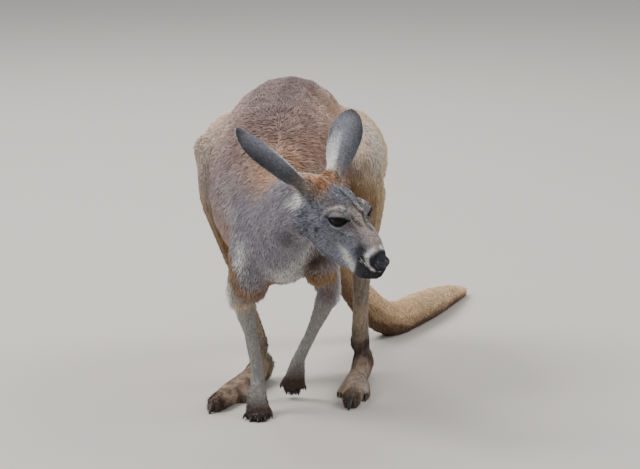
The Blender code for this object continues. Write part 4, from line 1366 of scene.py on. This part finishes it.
class Roots:
    """Places on the skin where tufts grow, with all that they need to know there."""

    def __init__(self, skin, random):
        coat = settings("coat")
        mesh = skin.data
        mesh.calc_loop_triangles()
        surface = Surface(mesh)
        points = surface.points
        found = labels(points)
        measured = HEAD.measure(points)
        head = on_nodes(found, "head", "lower_jaw")
        scale = face_length(measured, head)
        columns = REGION_ROWS[found][:, [LENGTH, WIDTH, LIFT]]
        length, width, lift = surface.spread(columns, TUFT_SPREAD).T
        length = length * scale
        width = width * (0.45 + 0.55 * scale)
        for side in SIDES:
            for place, part, longer, lifted in LONG_TUFTS:
                near = limb_patch(points, side, *place)
                if part:
                    near = near * on_nodes(found, f"{side}_{part}")
                length = length * (1 + longer * near)
                lift = lift * (1 + lifted * near)
        bare = bare_places(points)
        density = surface.spread(REGION_ROWS[found, DENSITY], DENSITY_SPREAD) * (1 - bare)
        lies = unit(np.array([lie_of(node) for node in COATED]))[found]
        lies = self.fan_out(surface.spread(lies, LIE_SPREAD), measured, head, found)
        colours = np.empty(len(points) * 4, np.float32)
        mesh.attributes["coat_colour"].data.foreach_get("color", colours)
        triangles = np.empty(len(mesh.loop_triangles) * 3, np.int64)
        mesh.loop_triangles.foreach_get("vertices", triangles)
        triangles = triangles.reshape(-1, 3)
        wanted = density[triangles] * coat.thickness
        chosen, share = self.scatter(points[triangles], wanted, random)
        corner = triangles[chosen]

        def at(values):
            return (values[corner] * share[:, :, None]).sum(1)

        keep = at(bare[:, None])[:, 0] < BARE
        corner, share = corner[keep], share[keep]
        self.points = at(points)
        self.normals = unit(at(unit(surface.normals())))
        lies = at(lies)
        self.lies = unit(lies - self.normals * (lies * self.normals).sum(1, keepdims=True))
        self.lengths = at(length[:, None])[:, 0] * coat.length
        self.widths = at(width[:, None])[:, 0]
        self.lifts = at(lift[:, None])[:, 0]
        self.colours = at(colours.reshape(-1, 4)[:, :3])
        self.found = found[corner[:, 0]]

    @staticmethod
    def scatter(triangles, density, random):
        """Triangle of each tuft, and the shares of its corners in the tuft's place."""
        sides = np.cross(triangles[:, 1] - triangles[:, 0], triangles[:, 2] - triangles[:, 0])
        area = np.linalg.norm(sides, axis=1) / 2
        total = np.cumsum(area * SQUARE_CENTIMETRES * density.mean(1))
        picks = np.arange(int(total[-1])) + random.random(int(total[-1]))
        chosen = np.minimum(np.searchsorted(total, picks), len(triangles) - 1)
        first, second = random.random((2, len(chosen)))
        flip = first + second > 1
        first, second = np.where(flip, 1 - first, first), np.where(flip, 1 - second, second)
        return chosen, np.stack([1 - first - second, first, second], 1)

    @staticmethod
    def fan_out(lies, measured, head, found):
        """Lie of the coat where it turns: down the cheeks and along the ears."""
        cheek = np.clip((14 - measured[:, 2]) / 40, 0, 0.9) * head
        out = lies + np.array(HEAD.turn(0, 0, -1)) * cheek[:, None]
        for side, sign in SIDES.items():
            out[on_nodes(found, f"{side}_ear")] = ear_frame(sign)[1]
        return out


# Shape of a tuft: the places along it and the sizes of its two rings, and how it rises
TUFT_RINGS = ((0.0, 0.75), (0.45, 1.0))
TUFT_RISE, TUFT_DROOP = 1.15, 0.35
TUFT_SUNK, TUFT_FLOOR = 0.4, 0.15  # root under the skin, and tufts over the floor (mm)
TUFT_FACES = [(0, 2, 1), (0, 1, 4, 3), (1, 2, 5, 4), (2, 0, 3, 5), (3, 4, 6), (4, 5, 6), (5, 3, 6)]
# Painted shade along a tuft at each point: dark at its root, paler to the tip
TUFT_SHADE = np.array([0.36, 0.36, 0.46, 0.92, 0.92, 1.02, 1.36])
TUFT_UV = [(-1, -1), (1, -1), (0, 1), (-0.5, -0.5), (0.5, -0.5), (0, 0.5), (0, 0)]
TUFT_UV = np.array(TUFT_UV) * 0.0015
SMOOTH_PARTS = ("tail", "thigh", "shank")  # their tufts differ less from one another
BLACK, PALE_SHARE, PALER = 0.03, 0.14, 8.0  # some tufts of the black muzzle are pale


def tuft_points(roots, random):
    """The seven points of every tuft, and the noise that gathers the tufts in clumps."""
    coat = settings("coat")
    count = len(roots.points)
    turn = lattice_noise(roots.points, 0.034, 21) * 0.7
    turn += lattice_noise(roots.points, 0.009, 22) * 0.8
    turn = (turn + random.normal(0, 0.16, count)) * coat.ruffle
    sideways = np.cross(roots.normals, roots.lies)
    lie = roots.lies * np.cos(turn)[:, None] + sideways * np.sin(turn)[:, None]
    side = np.cross(roots.normals, lie)
    clump = lattice_noise(roots.points, 0.0075, 23)
    lift = (roots.lifts * (1 + 0.7 * clump) * random.uniform(0.6, 1.4, count))[:, None]
    length = (roots.lengths * random.uniform(0.7, 1.2, count))[:, None] * MM
    width = (roots.widths * random.uniform(0.75, 1.2, count))[:, None] * MM / 2
    bend = random.normal(0, 0.10, count)[:, None]
    rings = []
    for part, size in TUFT_RINGS:
        centre = roots.points + lie * length * part + side * length * bend * part**2
        rise = length * lift * (TUFT_RISE * part - TUFT_DROOP * part**2)
        centre = centre + roots.normals * (rise - TUFT_SUNK * MM * (part == 0))
        rings += [centre - side * width * size, centre + side * width * size]
        rings.append(centre + roots.normals * width * size * 0.7)
    rise = TUFT_RISE - TUFT_DROOP
    tip = roots.points + lie * length + side * length * bend + roots.normals * length * lift * rise
    points = np.stack([*rings, tip], 1)
    points[..., 2] = np.maximum(points[..., 2], TUFT_FLOOR * MM)
    return points, clump


def tuft_colours(roots, clump, random):
    """Colour of every tuft at its seven points."""
    count = len(roots.points)
    own = random.normal(1.0, 0.17, count) + clump * 0.16
    own += lattice_noise(roots.points, 0.0035, 31) * 0.14
    grizzle = on_nodes(roots.found, "head", "lower_jaw", *EARS)
    own += (random.normal(0, 0.5, count) + lattice_noise(roots.points, 0.0032, 34) * 0.9) * grizzle
    own = 1 + (own - 1) * np.where(on_words(roots.found, *SMOOTH_PARTS), 0.5, 0.78)
    own = np.clip(own + lattice_noise(roots.points, 0.02, 33) * 0.07, 0.35, 1.8)
    pale = (random.random(count) < PALE_SHARE) & (roots.colours.mean(1) < BLACK)
    own = np.where(pale, PALER, own)[:, None, None]
    warm = 1 + random.normal(0, 0.035, (count, 1, 1)) * np.array([1.0, 0.2, -0.8])
    return np.clip(roots.colours[:, None] * own * warm * TUFT_SHADE[None, :, None], 0.003, 1)


def tuft_pieces(roots, layout, random):
    """Coat pieces, each a joined mesh of closed three-sided tufts."""
    points, clump = tuft_points(roots, random)
    colours = tuft_colours(roots, clump, random)
    uv = on_layout(layout, roots.points)[:, None] + TUFT_UV
    corners = np.concatenate(TUFT_FACES)
    sizes = [len(face) for face in TUFT_FACES]
    made = []
    for name, chosen in coat_groups(roots).items():
        for start in range(0, len(chosen), MOST_TUFTS):
            pick = chosen[start:start + MOST_TUFTS]
            flat = (np.arange(len(pick))[:, None] * len(TUFT_SHADE) + corners).ravel()
            title = f"coat_{name}"
            if len(chosen) > MOST_TUFTS:
                title += f"_{start // MOST_TUFTS + 1}"
            mesh = mesh_from(title, points[pick].reshape(-1, 3), flat, np.tile(sizes, len(pick)))
            store_colours(mesh, "coat_colour", colours[pick].reshape(-1, 3))
            layer = mesh.uv_layers.new(name="OFBake")
            layer.data.foreach_set("uv", uv[pick].reshape(-1, 2)[flat].ravel().astype(np.float32))
            made.append(new_piece(title, mesh))
    return made


# Coat pieces, and the words of the nodes that each covers. A node goes to the first that fits,
# so the ears' piece takes the forearms too.
COAT_PIECES = {
    "ears": ("ear",), "arms": ("arm", "hand"), "legs": ("shank", "foot"), "thighs": ("thigh",),
    "tail": ("tail",), "neck": ("neck",), "chest": ("chest",), "rump": ("rump",),
    "head": ("head", "jaw"),
}
COAT_ORDER = ("head", "ears", "neck", "chest", "rump", "thighs", "tail", "arms", "legs")


def coat_groups(roots):
    """Indices of the roots of each coat piece by name, front to back in each."""
    owners = np.array([
        next(piece for piece, words in COAT_PIECES.items() if any(word in node for word in words))
        for node in COATED
    ])
    out = {}
    for piece in COAT_ORDER:
        chosen = np.flatnonzero(owners[roots.found] == piece)
        out[piece] = chosen[np.argsort(roots.points[chosen, 1])]
    return out


class KANGAROO_OT_coat(bpy.types.Operator):
    """Lay the coat over the skin in tufts that follow its lie"""

    bl_idname = "kangaroo.coat"
    bl_label = "Coat"

    def execute(self, context):
        skin = bpy.data.objects["skin"]
        random = np.random.default_rng(settings("flesh").seed)
        roots = Roots(skin, random)
        material = coat_material()
        for piece in tuft_pieces(roots, skin_layout(skin.data), random):
            piece.data.materials.append(material)
            seated(piece, "grey coat")
        return {"FINISHED"}


# ---------------------------------------------------------------- eyes, nose and claws


def ball(name, columns, rows):
    """Ball of radius one as a mesh, and its surface."""
    work = bmesh.new()
    bmesh.ops.create_uvsphere(work, u_segments=columns, v_segments=rows, radius=1)
    mesh = bpy.data.meshes.new(name)
    work.to_mesh(mesh)
    work.free()
    return mesh, Surface(mesh)


CORNEA = (0.9, 0.62)  # height of its swell (mm), and its half angle
PUPIL = (0.50, 0.34)  # half length and half height, in radii of the eye
IRIS = 0.72


def eye_mesh(name, side):
    """Eyeball with the swell of the cornea; an attribute tells each point's place on the iris."""
    centre, along, _, look = eye_axes(side)
    mesh, surface = ball(name, 64, 48)
    across, rise, facing = surface.points.T.copy()
    angle = np.arccos(np.clip(facing, -1, 1))
    radius = EYE_RADIUS - 0.2 + CORNEA[0] * np.clip(1 - (angle / CORNEA[1]) ** 2, 0, 1)
    turned = surface.points @ np.array([along, np.cross(look, along), look])
    surface.points = centre + turned * radius[:, None] * MM
    surface.store()
    front = facing > 0
    pupil = np.where(front, np.hypot(across / PUPIL[0], rise / PUPIL[1]), 3)
    iris = np.where(front, np.hypot(across, rise) / IRIS, 3)
    rows = np.stack([pupil, iris, np.zeros(len(iris))], 1)
    attribute = mesh.attributes.new("iris_place", "FLOAT_VECTOR", "POINT")
    attribute.data.foreach_set("vector", rows.astype(np.float32).ravel())
    return cleaned(mesh)


def eye_material():
    """Wet, almost black eye with a long pupil and a darker edge to the iris."""
    tints = settings("colours")
    material, tree, surface = shader("wet eye", tuple(tints.iris), 0.06, Specular_IOR_Level=0.16)
    source = tree.nodes.new("ShaderNodeAttribute")
    source.attribute_name = "iris_place"
    parts = tree.nodes.new("ShaderNodeSeparateXYZ")
    tree.links.new(source.outputs["Vector"], parts.inputs["Vector"])
    pupil = tree.nodes.new("ShaderNodeValToRGB")
    stops = ((0.86, (0.003, 0.003, 0.003, 1)), (1.0, (*tints.iris, 1)))
    for element, (place, tint) in zip(pupil.color_ramp.elements, stops):
        element.position = place
        element.color = tint
    tree.links.new(parts.outputs["X"], pupil.inputs["Fac"])
    edge = mapped(tree, parts.outputs["Y"], (0.75, 1.05), (1.0, 0.10))
    scale_colour(tree, surface, pupil.outputs["Color"], edge)
    return material


class KANGAROO_OT_eyes(bpy.types.Operator):
    """Make the eyeballs, with the swell of the cornea"""

    bl_idname = "kangaroo.eyes"
    bl_label = "Eyes"

    def execute(self, context):
        material = eye_material()
        for side, sign in SIDES.items():
            mesh = eye_mesh(f"{side} eyeball", sign)
            mesh.shade_smooth()
            mesh.materials.append(material)
            seated(new_piece(f"{side}_eyeball", mesh), "eye", f"{side}_eye")
        return {"FINISHED"}


NOSE_SIZE = np.array([11.5, 14.2, 10.2])  # half lengths from front to back, across and up
NOSTRIL = [(-9.0, 4.5, -2.6), (-7.5, 7.5, -1.2), (-4.0, 10.6, -0.4), (0.5, 12.6, 1.0)]
NOSTRIL_WING = [(-8.5, 6.5, 3.2), (-4.5, 10.6, 4.0)]


def nose_mesh():
    """Broad pad with curled nostrils, raised wings over them and a groove down the middle."""
    mesh, surface = ball("nose pad", 72, 56)
    place = surface.points * NOSE_SIZE
    place[:, 2] -= 0.06 * np.abs(place[:, 1]) * (place[:, 2] > 0)
    for sign in (LEFT, RIGHT):
        for path, width, swell in ((NOSTRIL, 2.1, -0.30), (NOSTRIL_WING, 3.0, 0.06)):
            near = stroke(place * MM, np.array(path) * (1, sign, 1) * MM, width)
            place *= (1 + near * swell)[:, None]
    groove = np.exp(-((place[:, 1] / 0.9) ** 2)) * (place[:, 0] < 0) * (place[:, 2] < 4)
    place *= (1 - 0.09 * groove)[:, None]
    surface.points = np.array(middle("nose")) + place @ HEAD.axes * MM
    surface.store()
    return cleaned(mesh)


class KANGAROO_OT_nose(bpy.types.Operator):
    """Make the bare nose pad with its nostrils"""

    bl_idname = "kangaroo.nose"
    bl_label = "Nose"

    def execute(self, context):
        mesh = nose_mesh()
        mesh.shade_smooth()
        # Its colour is lifted above black as a painted sheen
        tint = tuple(settings("colours").nose)
        material, tree, surface = shader("nose leather", tint, 0.34, Specular_IOR_Level=0.45)
        grain = texture_on(tree, "ShaderNodeTexVoronoi", Scale=900.0)
        add_bump(tree, surface, grain.outputs["Distance"], 0.5, 0.4 * MM)
        mesh.materials.append(material)
        seated(new_piece("nose_pad", mesh), "nose skin", "nose")
        return {"FINISHED"}


CLAW_RINGS, CLAW_SIDES = 12, 16
CLAW_REACH = {"hand": 0.72, "foot": 0.9}  # share of the solid's length, as the rest is worn off
CLAW_ARCH, CLAW_LEAN = 0.55, -0.45  # of its half height: rise in the middle, drop of the tip
CLAW_FIT = (0.92, 0.80)  # shares of the solid's width and height


def claw_mesh(node, part):
    """Curved tapering claw along the axis of its solid."""
    work = welded(node)
    points = np.array([vertex.co[:] for vertex in work.verts])
    work.free()
    centre = points.mean(0)
    run = np.linalg.svd(points - centre)[2][0]
    holder = f"{node.split('_')[0]}_{part}"
    if run @ (centre - np.array(middle(holder))) < 0:
        run = -run
    side = unit(np.cross(run, [0, 0, 1.0])[None])[0]
    axes = np.array([run, side, np.cross(side, run)])
    local = (points - centre) @ axes.T
    low, high = local.min(0), local.max(0)
    high[0] = low[0] + (high[0] - low[0]) * CLAW_REACH[part]
    mid = (low + high) / 2
    half = (high - low) / 2
    rows = []
    for ring in range(CLAW_RINGS + 1):
        share = ring / CLAW_RINGS
        size = max((1 - share**2.2) ** 0.62, 0.02)
        shift = half[2] * (CLAW_ARCH * math.sin(share * math.pi) + CLAW_LEAN * share**2)
        for step in range(CLAW_SIDES):
            angle = 2 * math.pi * step / CLAW_SIDES
            drop = math.sin(angle)
            keel = 1.0 if drop < 0 else 0.9
            rows.append((
                low[0] + (high[0] - low[0]) * share,
                mid[1] + half[1] * CLAW_FIT[0] * size * math.cos(angle),
                mid[2] + half[2] * CLAW_FIT[1] * size * drop * keel + shift,
            ))
    corners, counts = ring_faces(CLAW_RINGS + 1, CLAW_SIDES)
    first_ring = list(range(CLAW_SIDES))
    corners += first_ring[::-1] + [CLAW_RINGS * CLAW_SIDES + step for step in first_ring]
    counts += [CLAW_SIDES, CLAW_SIDES]
    world = centre + np.array(rows) @ axes
    world[:, 2] = np.maximum(world[:, 2], 0.0)
    return cleaned(mesh_from(node, world, corners, counts), merge=1e-5)


class KANGAROO_OT_claws(bpy.types.Operator):
    """Make the claws of the hands and feet"""

    bl_idname = "kangaroo.claws"
    bl_label = "Claws"

    def execute(self, context):
        tint = tuple(settings("colours").horn)
        material, tree, surface = shader("horn", tint, 0.5, Specular_IOR_Level=0.3)
        streaks = noise_on(tree, 260.0, 4.0)
        vary_colour(tree, surface, streaks, 0.6, 1.7)
        add_bump(tree, surface, streaks, 0.25, 0.4 * MM)
        for side in SIDES:
            nodes = [(f"{side}_{finger}_claw", "hand") for finger in FINGERS]
            nodes += [(f"{side}_{toe}_toe_claw", "foot") for toe in TOES]
            for node, part in nodes:
                mesh = claw_mesh(node, part)
                mesh.shade_smooth()
                mesh.materials.append(material)
                seated(new_piece(f"{node}_horn", mesh), "horn", node)
        return {"FINISHED"}


# ---------------------------------------------------------------- lids, lashes and whiskers


def strand_tree():
    """Geometry Nodes: every edge path becomes a closed tapering round strand."""
    tree = bpy.data.node_groups.new("Strands", "GeometryNodeTree")
    face = tree.interface
    face.new_socket(name="Paths", in_out="INPUT", socket_type="NodeSocketGeometry")
    for name, kind, value in (
        ("Radius", "NodeSocketFloat", 0.0003), ("Tip share", "NodeSocketFloat", 0.15),
        ("Sides", "NodeSocketInt", 5), ("Material", "NodeSocketMaterial", None),
    ):
        socket = face.new_socket(name=name, in_out="INPUT", socket_type=kind)
        if value is not None:
            socket.default_value = value
    face.new_socket(name="Strands", in_out="OUTPUT", socket_type="NodeSocketGeometry")
    kinds = {
        "entry": "NodeGroupInput", "leave": "NodeGroupOutput",
        "curve": "GeometryNodeMeshToCurve", "along": "GeometryNodeSplineParameter",
        "taper": "ShaderNodeMapRange", "scale": "ShaderNodeMath",
        "sized": "GeometryNodeSetCurveRadius", "ring": "GeometryNodeCurvePrimitiveCircle",
        "tube": "GeometryNodeCurveToMesh", "smooth": "GeometryNodeSetShadeSmooth",
        "whole": "GeometryNodeRealizeInstances", "dress": "GeometryNodeSetMaterial",
    }
    node = {name: tree.nodes.new(kind) for name, kind in kinds.items()}
    node["scale"].operation = "MULTIPLY"
    node["taper"].inputs["To Min"].default_value = 1.0
    node["ring"].inputs["Radius"].default_value = 1.0
    node["tube"].inputs["Fill Caps"].default_value = True
    links = [
        ("entry", "Paths", "curve", "Mesh"), ("along", "Factor", "taper", "Value"),
        ("entry", "Tip share", "taper", "To Max"), ("taper", "Result", "scale", 0),
        ("entry", "Radius", "scale", 1), ("curve", "Curve", "sized", "Curve"),
        ("scale", "Value", "sized", "Radius"), ("entry", "Sides", "ring", "Resolution"),
        ("sized", "Curve", "tube", "Curve"), ("ring", "Curve", "tube", "Profile Curve"),
        ("tube", "Mesh", "smooth", "Geometry"), ("smooth", "Geometry", "whole", "Geometry"),
        ("whole", "Geometry", "dress", "Geometry"), ("entry", "Material", "dress", "Material"),
        ("dress", "Geometry", "leave", "Strands"), ("scale", "Value", "tube", "Scale"),
    ]
    for source, output, target, entry in links:
        tree.links.new(node[source].outputs[output], node[target].inputs[entry])
    return tree


def strands(name, paths, slot, material, radius, tip_share, sides, cyclic=False):
    """Piece of closed strands along paths of world points; radius in millimetres."""
    tree = bpy.data.node_groups.get("Strands") or strand_tree()
    points, edges = [], []
    for path in paths:
        base = len(points)
        points += [Vector(place) for place in path]
        edges += [(base + i, base + i + 1) for i in range(len(path) - 1)]
        if cyclic:
            edges.append((base + len(path) - 1, base))
    mesh = bpy.data.meshes.new(name)
    mesh.from_pydata(points, edges, [])
    guide = new_piece(f"{name} paths", mesh)
    change = guide.modifiers.new("Strands", "NODES")
    change.node_group = tree
    inputs = {"Radius": radius * MM, "Tip share": tip_share, "Sides": sides, "Material": material}
    for item in tree.interface.items_tree:
        if item.name in inputs:
            change[item.identifier] = inputs[item.name]
    made = evaluated(guide)
    bpy.data.objects.remove(guide, do_unlink=True)
    return seated(new_piece(name, cleaned(made, merge=1e-6)), slot)


LID_STEPS = 72  # round one eye
UPPER_LID = slice(1, 36)  # of those steps
LASHES = slice(3, 34)


def lid_path(side, proud):
    """Closed path along the lid edges of one eye, so far over the eyeball (mm)."""
    centre, along, upward, look = eye_axes(side)
    path = []
    for step in range(LID_STEPS):
        angle = 2 * math.pi * step / LID_STEPS
        part = math.cos(angle)
        high, low = lid_edges(np.array([part]))
        rise = (high if math.sin(angle) > 0 else low)[0]
        across = LID_MIDDLE + part * LID_HALF_LENGTH
        depth = math.sqrt(max(EYE_RADIUS**2 - across**2 - rise**2, 0))
        place = unit((along * across + upward * rise + look * depth)[None])[0]
        path.append(centre + place * (EYE_RADIUS + proud) * MM)
    return path


def lid_fold(side):
    """Edge of the upper lid of one eye, drawn out past both corners."""
    _, along, upward, look = eye_axes(side)
    upper = lid_path(side, 2.5)[UPPER_LID]
    front = upper[0] + (along * 3.0 - upward * 0.8 - look * 1.6) * MM
    rear = upper[-1] + (-along * 4.0 + upward * 1.2 - look * 2.2) * MM
    return [front, *upper, rear]


def lash_paths(side, random):
    """Short lashes of one upper lid, bent upward."""
    centre, along, upward, _ = eye_axes(side)
    paths = []
    for place in lid_path(side, 1.2)[LASHES]:
        outward = unit((place - centre)[None])[0]
        lean = random.normal(0, 0.2)
        reach = random.uniform(5.0, 8.5) * MM
        run = outward * 0.8 + along * lean - upward * 0.25
        bend = upward * reach * 0.55
        paths.append([place + run * reach * part + bend * part**2 for part in (0, 0.35, 0.7, 1)])
    return paths


WHISKER_ROWS, WHISKERS_IN_ROW, CHEEK_WHISKERS = 3, 4, 4


def whisker_paths(side, random):
    """Rows of whiskers on one side of the muzzle, and a few on the cheek."""
    paths = []
    for row in range(WHISKER_ROWS):
        for place in range(WHISKERS_IN_ROW):
            back = 26 + place * 8 + row * 2
            root = np.array(HEAD.place(back, 13.5 + place * 1.3, -8 - row * 4.5, side))
            run = np.array(HEAD.turn(0.45, 0.95, -0.15 - 0.18 * row, side))
            reach = random.uniform(18, 34) * MM
            sag = np.array([0, 0, -1]) * reach * 0.25
            parts = (0, 0.3, 0.6, 0.85, 1)
            paths.append([root + run * reach * part + sag * part**2 for part in parts])
    root = np.array(HEAD.place(112, 38, -12, side))
    for turn in range(CHEEK_WHISKERS):
        run = np.array(HEAD.turn(0.5, 0.8, 0.15 * turn - 0.3, side))
        paths.append([root + run * 16 * MM * part for part in (0, 0.5, 1)])
    return paths


class KANGAROO_OT_hairs(bpy.types.Operator):
    """Make the lid rims, lashes and whiskers"""

    bl_idname = "kangaroo.hairs"
    bl_label = "Lids, lashes and whiskers"

    def execute(self, context):
        random = np.random.default_rng(settings("flesh").seed + 1)
        lid_skin = shader("lid skin", (0.005, 0.005, 0.005), 0.5, Specular_IOR_Level=0.15)[0]
        dark_hair = shader("whisker", (0.02, 0.018, 0.018), 0.4)[0]
        sides = (LEFT, RIGHT)
        rims = [lid_path(side, 1.5) for side in sides]
        strands("lid_rims", rims, "nose skin", lid_skin, 1.1, 1.0, 10, cyclic=True)
        folds = [lid_fold(side) for side in sides]
        strands("upper_lids", folds, "nose skin", lid_skin, 1.7, 0.7, 10)
        lashes = [path for side in sides for path in lash_paths(side, random)]
        strands("eyelashes", lashes, "horn", dark_hair, 0.25, 0.3, 4)
        whiskers = [path for side in sides for path in whisker_paths(side, random)]
        strands("whiskers", whiskers, "horn", dark_hair, 0.25, 0.25, 4)
        return {"FINISHED"}


# ---------------------------------------------------------------- camera, floor and light


def area_light(name, place, aim, size, power, tint):
    """Soft square light aimed at a place."""
    data = bpy.data.lights.new(name, "AREA")
    data.size = size
    data.energy = power
    data.color = tint
    light = bpy.data.objects.new(name, data)
    light.location = place
    light.rotation_euler = (Vector(aim) - Vector(place)).to_track_quat("-Z", "Y").to_euler()
    bpy.context.scene.collection.objects.link(light)


# Lights: name, place and aim in metres, width in metres, power in watts, tint
LIGHTS = [
    ("key", (-2.0, -0.7, 2.7), (0, -0.2, 0.25), 1.4, 108, (1.0, 0.98, 0.96)),
    ("side", (2.2, 0.3, 2.5), (0, -0.1, 0.3), 1.6, 54, (1.0, 0.98, 0.96)),
    ("rim", (-0.8, 2.8, 2.7), (0, -0.1, 0.35), 2.0, 105, (1.0, 0.99, 0.98)),
]
SKY_TINT, SKY_STRENGTH = (0.94, 0.97, 1.0, 1), 0.72
FLOOR_REACH = 40  # metres from its middle to its edge
CAMERA_AIM = Vector((-0.0466, -0.2165, 0.22))  # place that the camera is set out from
AIM_ACROSS, AIM_UP = 0.047, 0.0446  # from that place to the middle of the view


class KANGAROO_OT_stage(bpy.types.Operator):
    """Set the camera, floor and light"""

    bl_idname = "kangaroo.stage"
    bl_label = "Stage"

    def execute(self, context):
        scene = context.scene
        stage = settings("stage")
        data = bpy.data.cameras.new("camera")
        data.lens = stage.lens
        data.clip_end = 100
        camera = bpy.data.objects.new("camera", data)
        back = Vector((
            math.sin(stage.azimuth) * math.cos(stage.elevation),
            -math.cos(stage.azimuth) * math.cos(stage.elevation),
            math.sin(stage.elevation),
        ))
        camera.location = CAMERA_AIM + back * stage.distance
        across = Vector((0, 0, 1)).cross(back).normalized()
        view = CAMERA_AIM + across * AIM_ACROSS + back.cross(across) * AIM_UP - camera.location
        camera.rotation_euler = view.to_track_quat("-Z", "Y").to_euler()
        scene.collection.objects.link(camera)
        scene.camera = camera
        mesh = bmesh.new()
        bmesh.ops.create_grid(mesh, x_segments=1, y_segments=1, size=FLOOR_REACH)
        floor = bpy.data.meshes.new("floor")
        mesh.to_mesh(floor)
        mesh.free()
        floor.materials.append(shader("floor", tuple(stage.floor), 0.9)[0])
        new_piece("floor", floor)
        world = bpy.data.worlds.new("soft sky")
        world.use_nodes = True
        sky = world.node_tree.nodes["Background"]
        sky.inputs["Color"].default_value = SKY_TINT
        sky.inputs["Strength"].default_value = SKY_STRENGTH
        scene.world = world
        for light in LIGHTS:
            area_light(*light)
        return {"FINISHED"}


class KANGAROO_PT_panel(bpy.types.Panel):
    """Panel that lists the operators"""

    bl_label = "Red Kangaroo"
    bl_idname = "KANGAROO_PT_panel"
    bl_space_type = "VIEW_3D"
    bl_region_type = "UI"
    bl_category = "Kangaroo"

    def draw(self, context):
        for name, kind in GROUPS.items():
            box = self.layout.box()
            for key in kind.__annotations__:
                box.prop(getattr(context.scene, name), key)
        for operator in OPERATORS:
            self.layout.operator(operator.bl_idname)


GROUPS = {
    "kangaroo_flesh": KANGAROO_PG_flesh,
    "kangaroo_coat": KANGAROO_PG_coat,
    "kangaroo_colours": KANGAROO_PG_colours,
    "kangaroo_stage": KANGAROO_PG_stage,
}
OPERATORS = (
    KANGAROO_OT_skin, KANGAROO_OT_eyes, KANGAROO_OT_nose, KANGAROO_OT_claws,
    KANGAROO_OT_hairs, KANGAROO_OT_coat, KANGAROO_OT_stage,
)


def register():
    """Make the settings, operators and panel known to Blender."""
    for kind in (*GROUPS.values(), *OPERATORS, KANGAROO_PT_panel):
        bpy.utils.register_class(kind)
    for name, kind in GROUPS.items():
        setattr(bpy.types.Scene, name, bpy.props.PointerProperty(type=kind))


def unregister():
    """Take the settings, operators and panel away again."""
    for name in GROUPS:
        delattr(bpy.types.Scene, name)
    for kind in (KANGAROO_PT_panel, *reversed(OPERATORS), *reversed(GROUPS.values())):
        bpy.utils.unregister_class(kind)


def main():
    """Build every piece."""
    register()
    for operator in OPERATORS:
        group, name = operator.bl_idname.split(".")
        getattr(getattr(bpy.ops, group), name)()


if __name__ == "__main__":
    main()
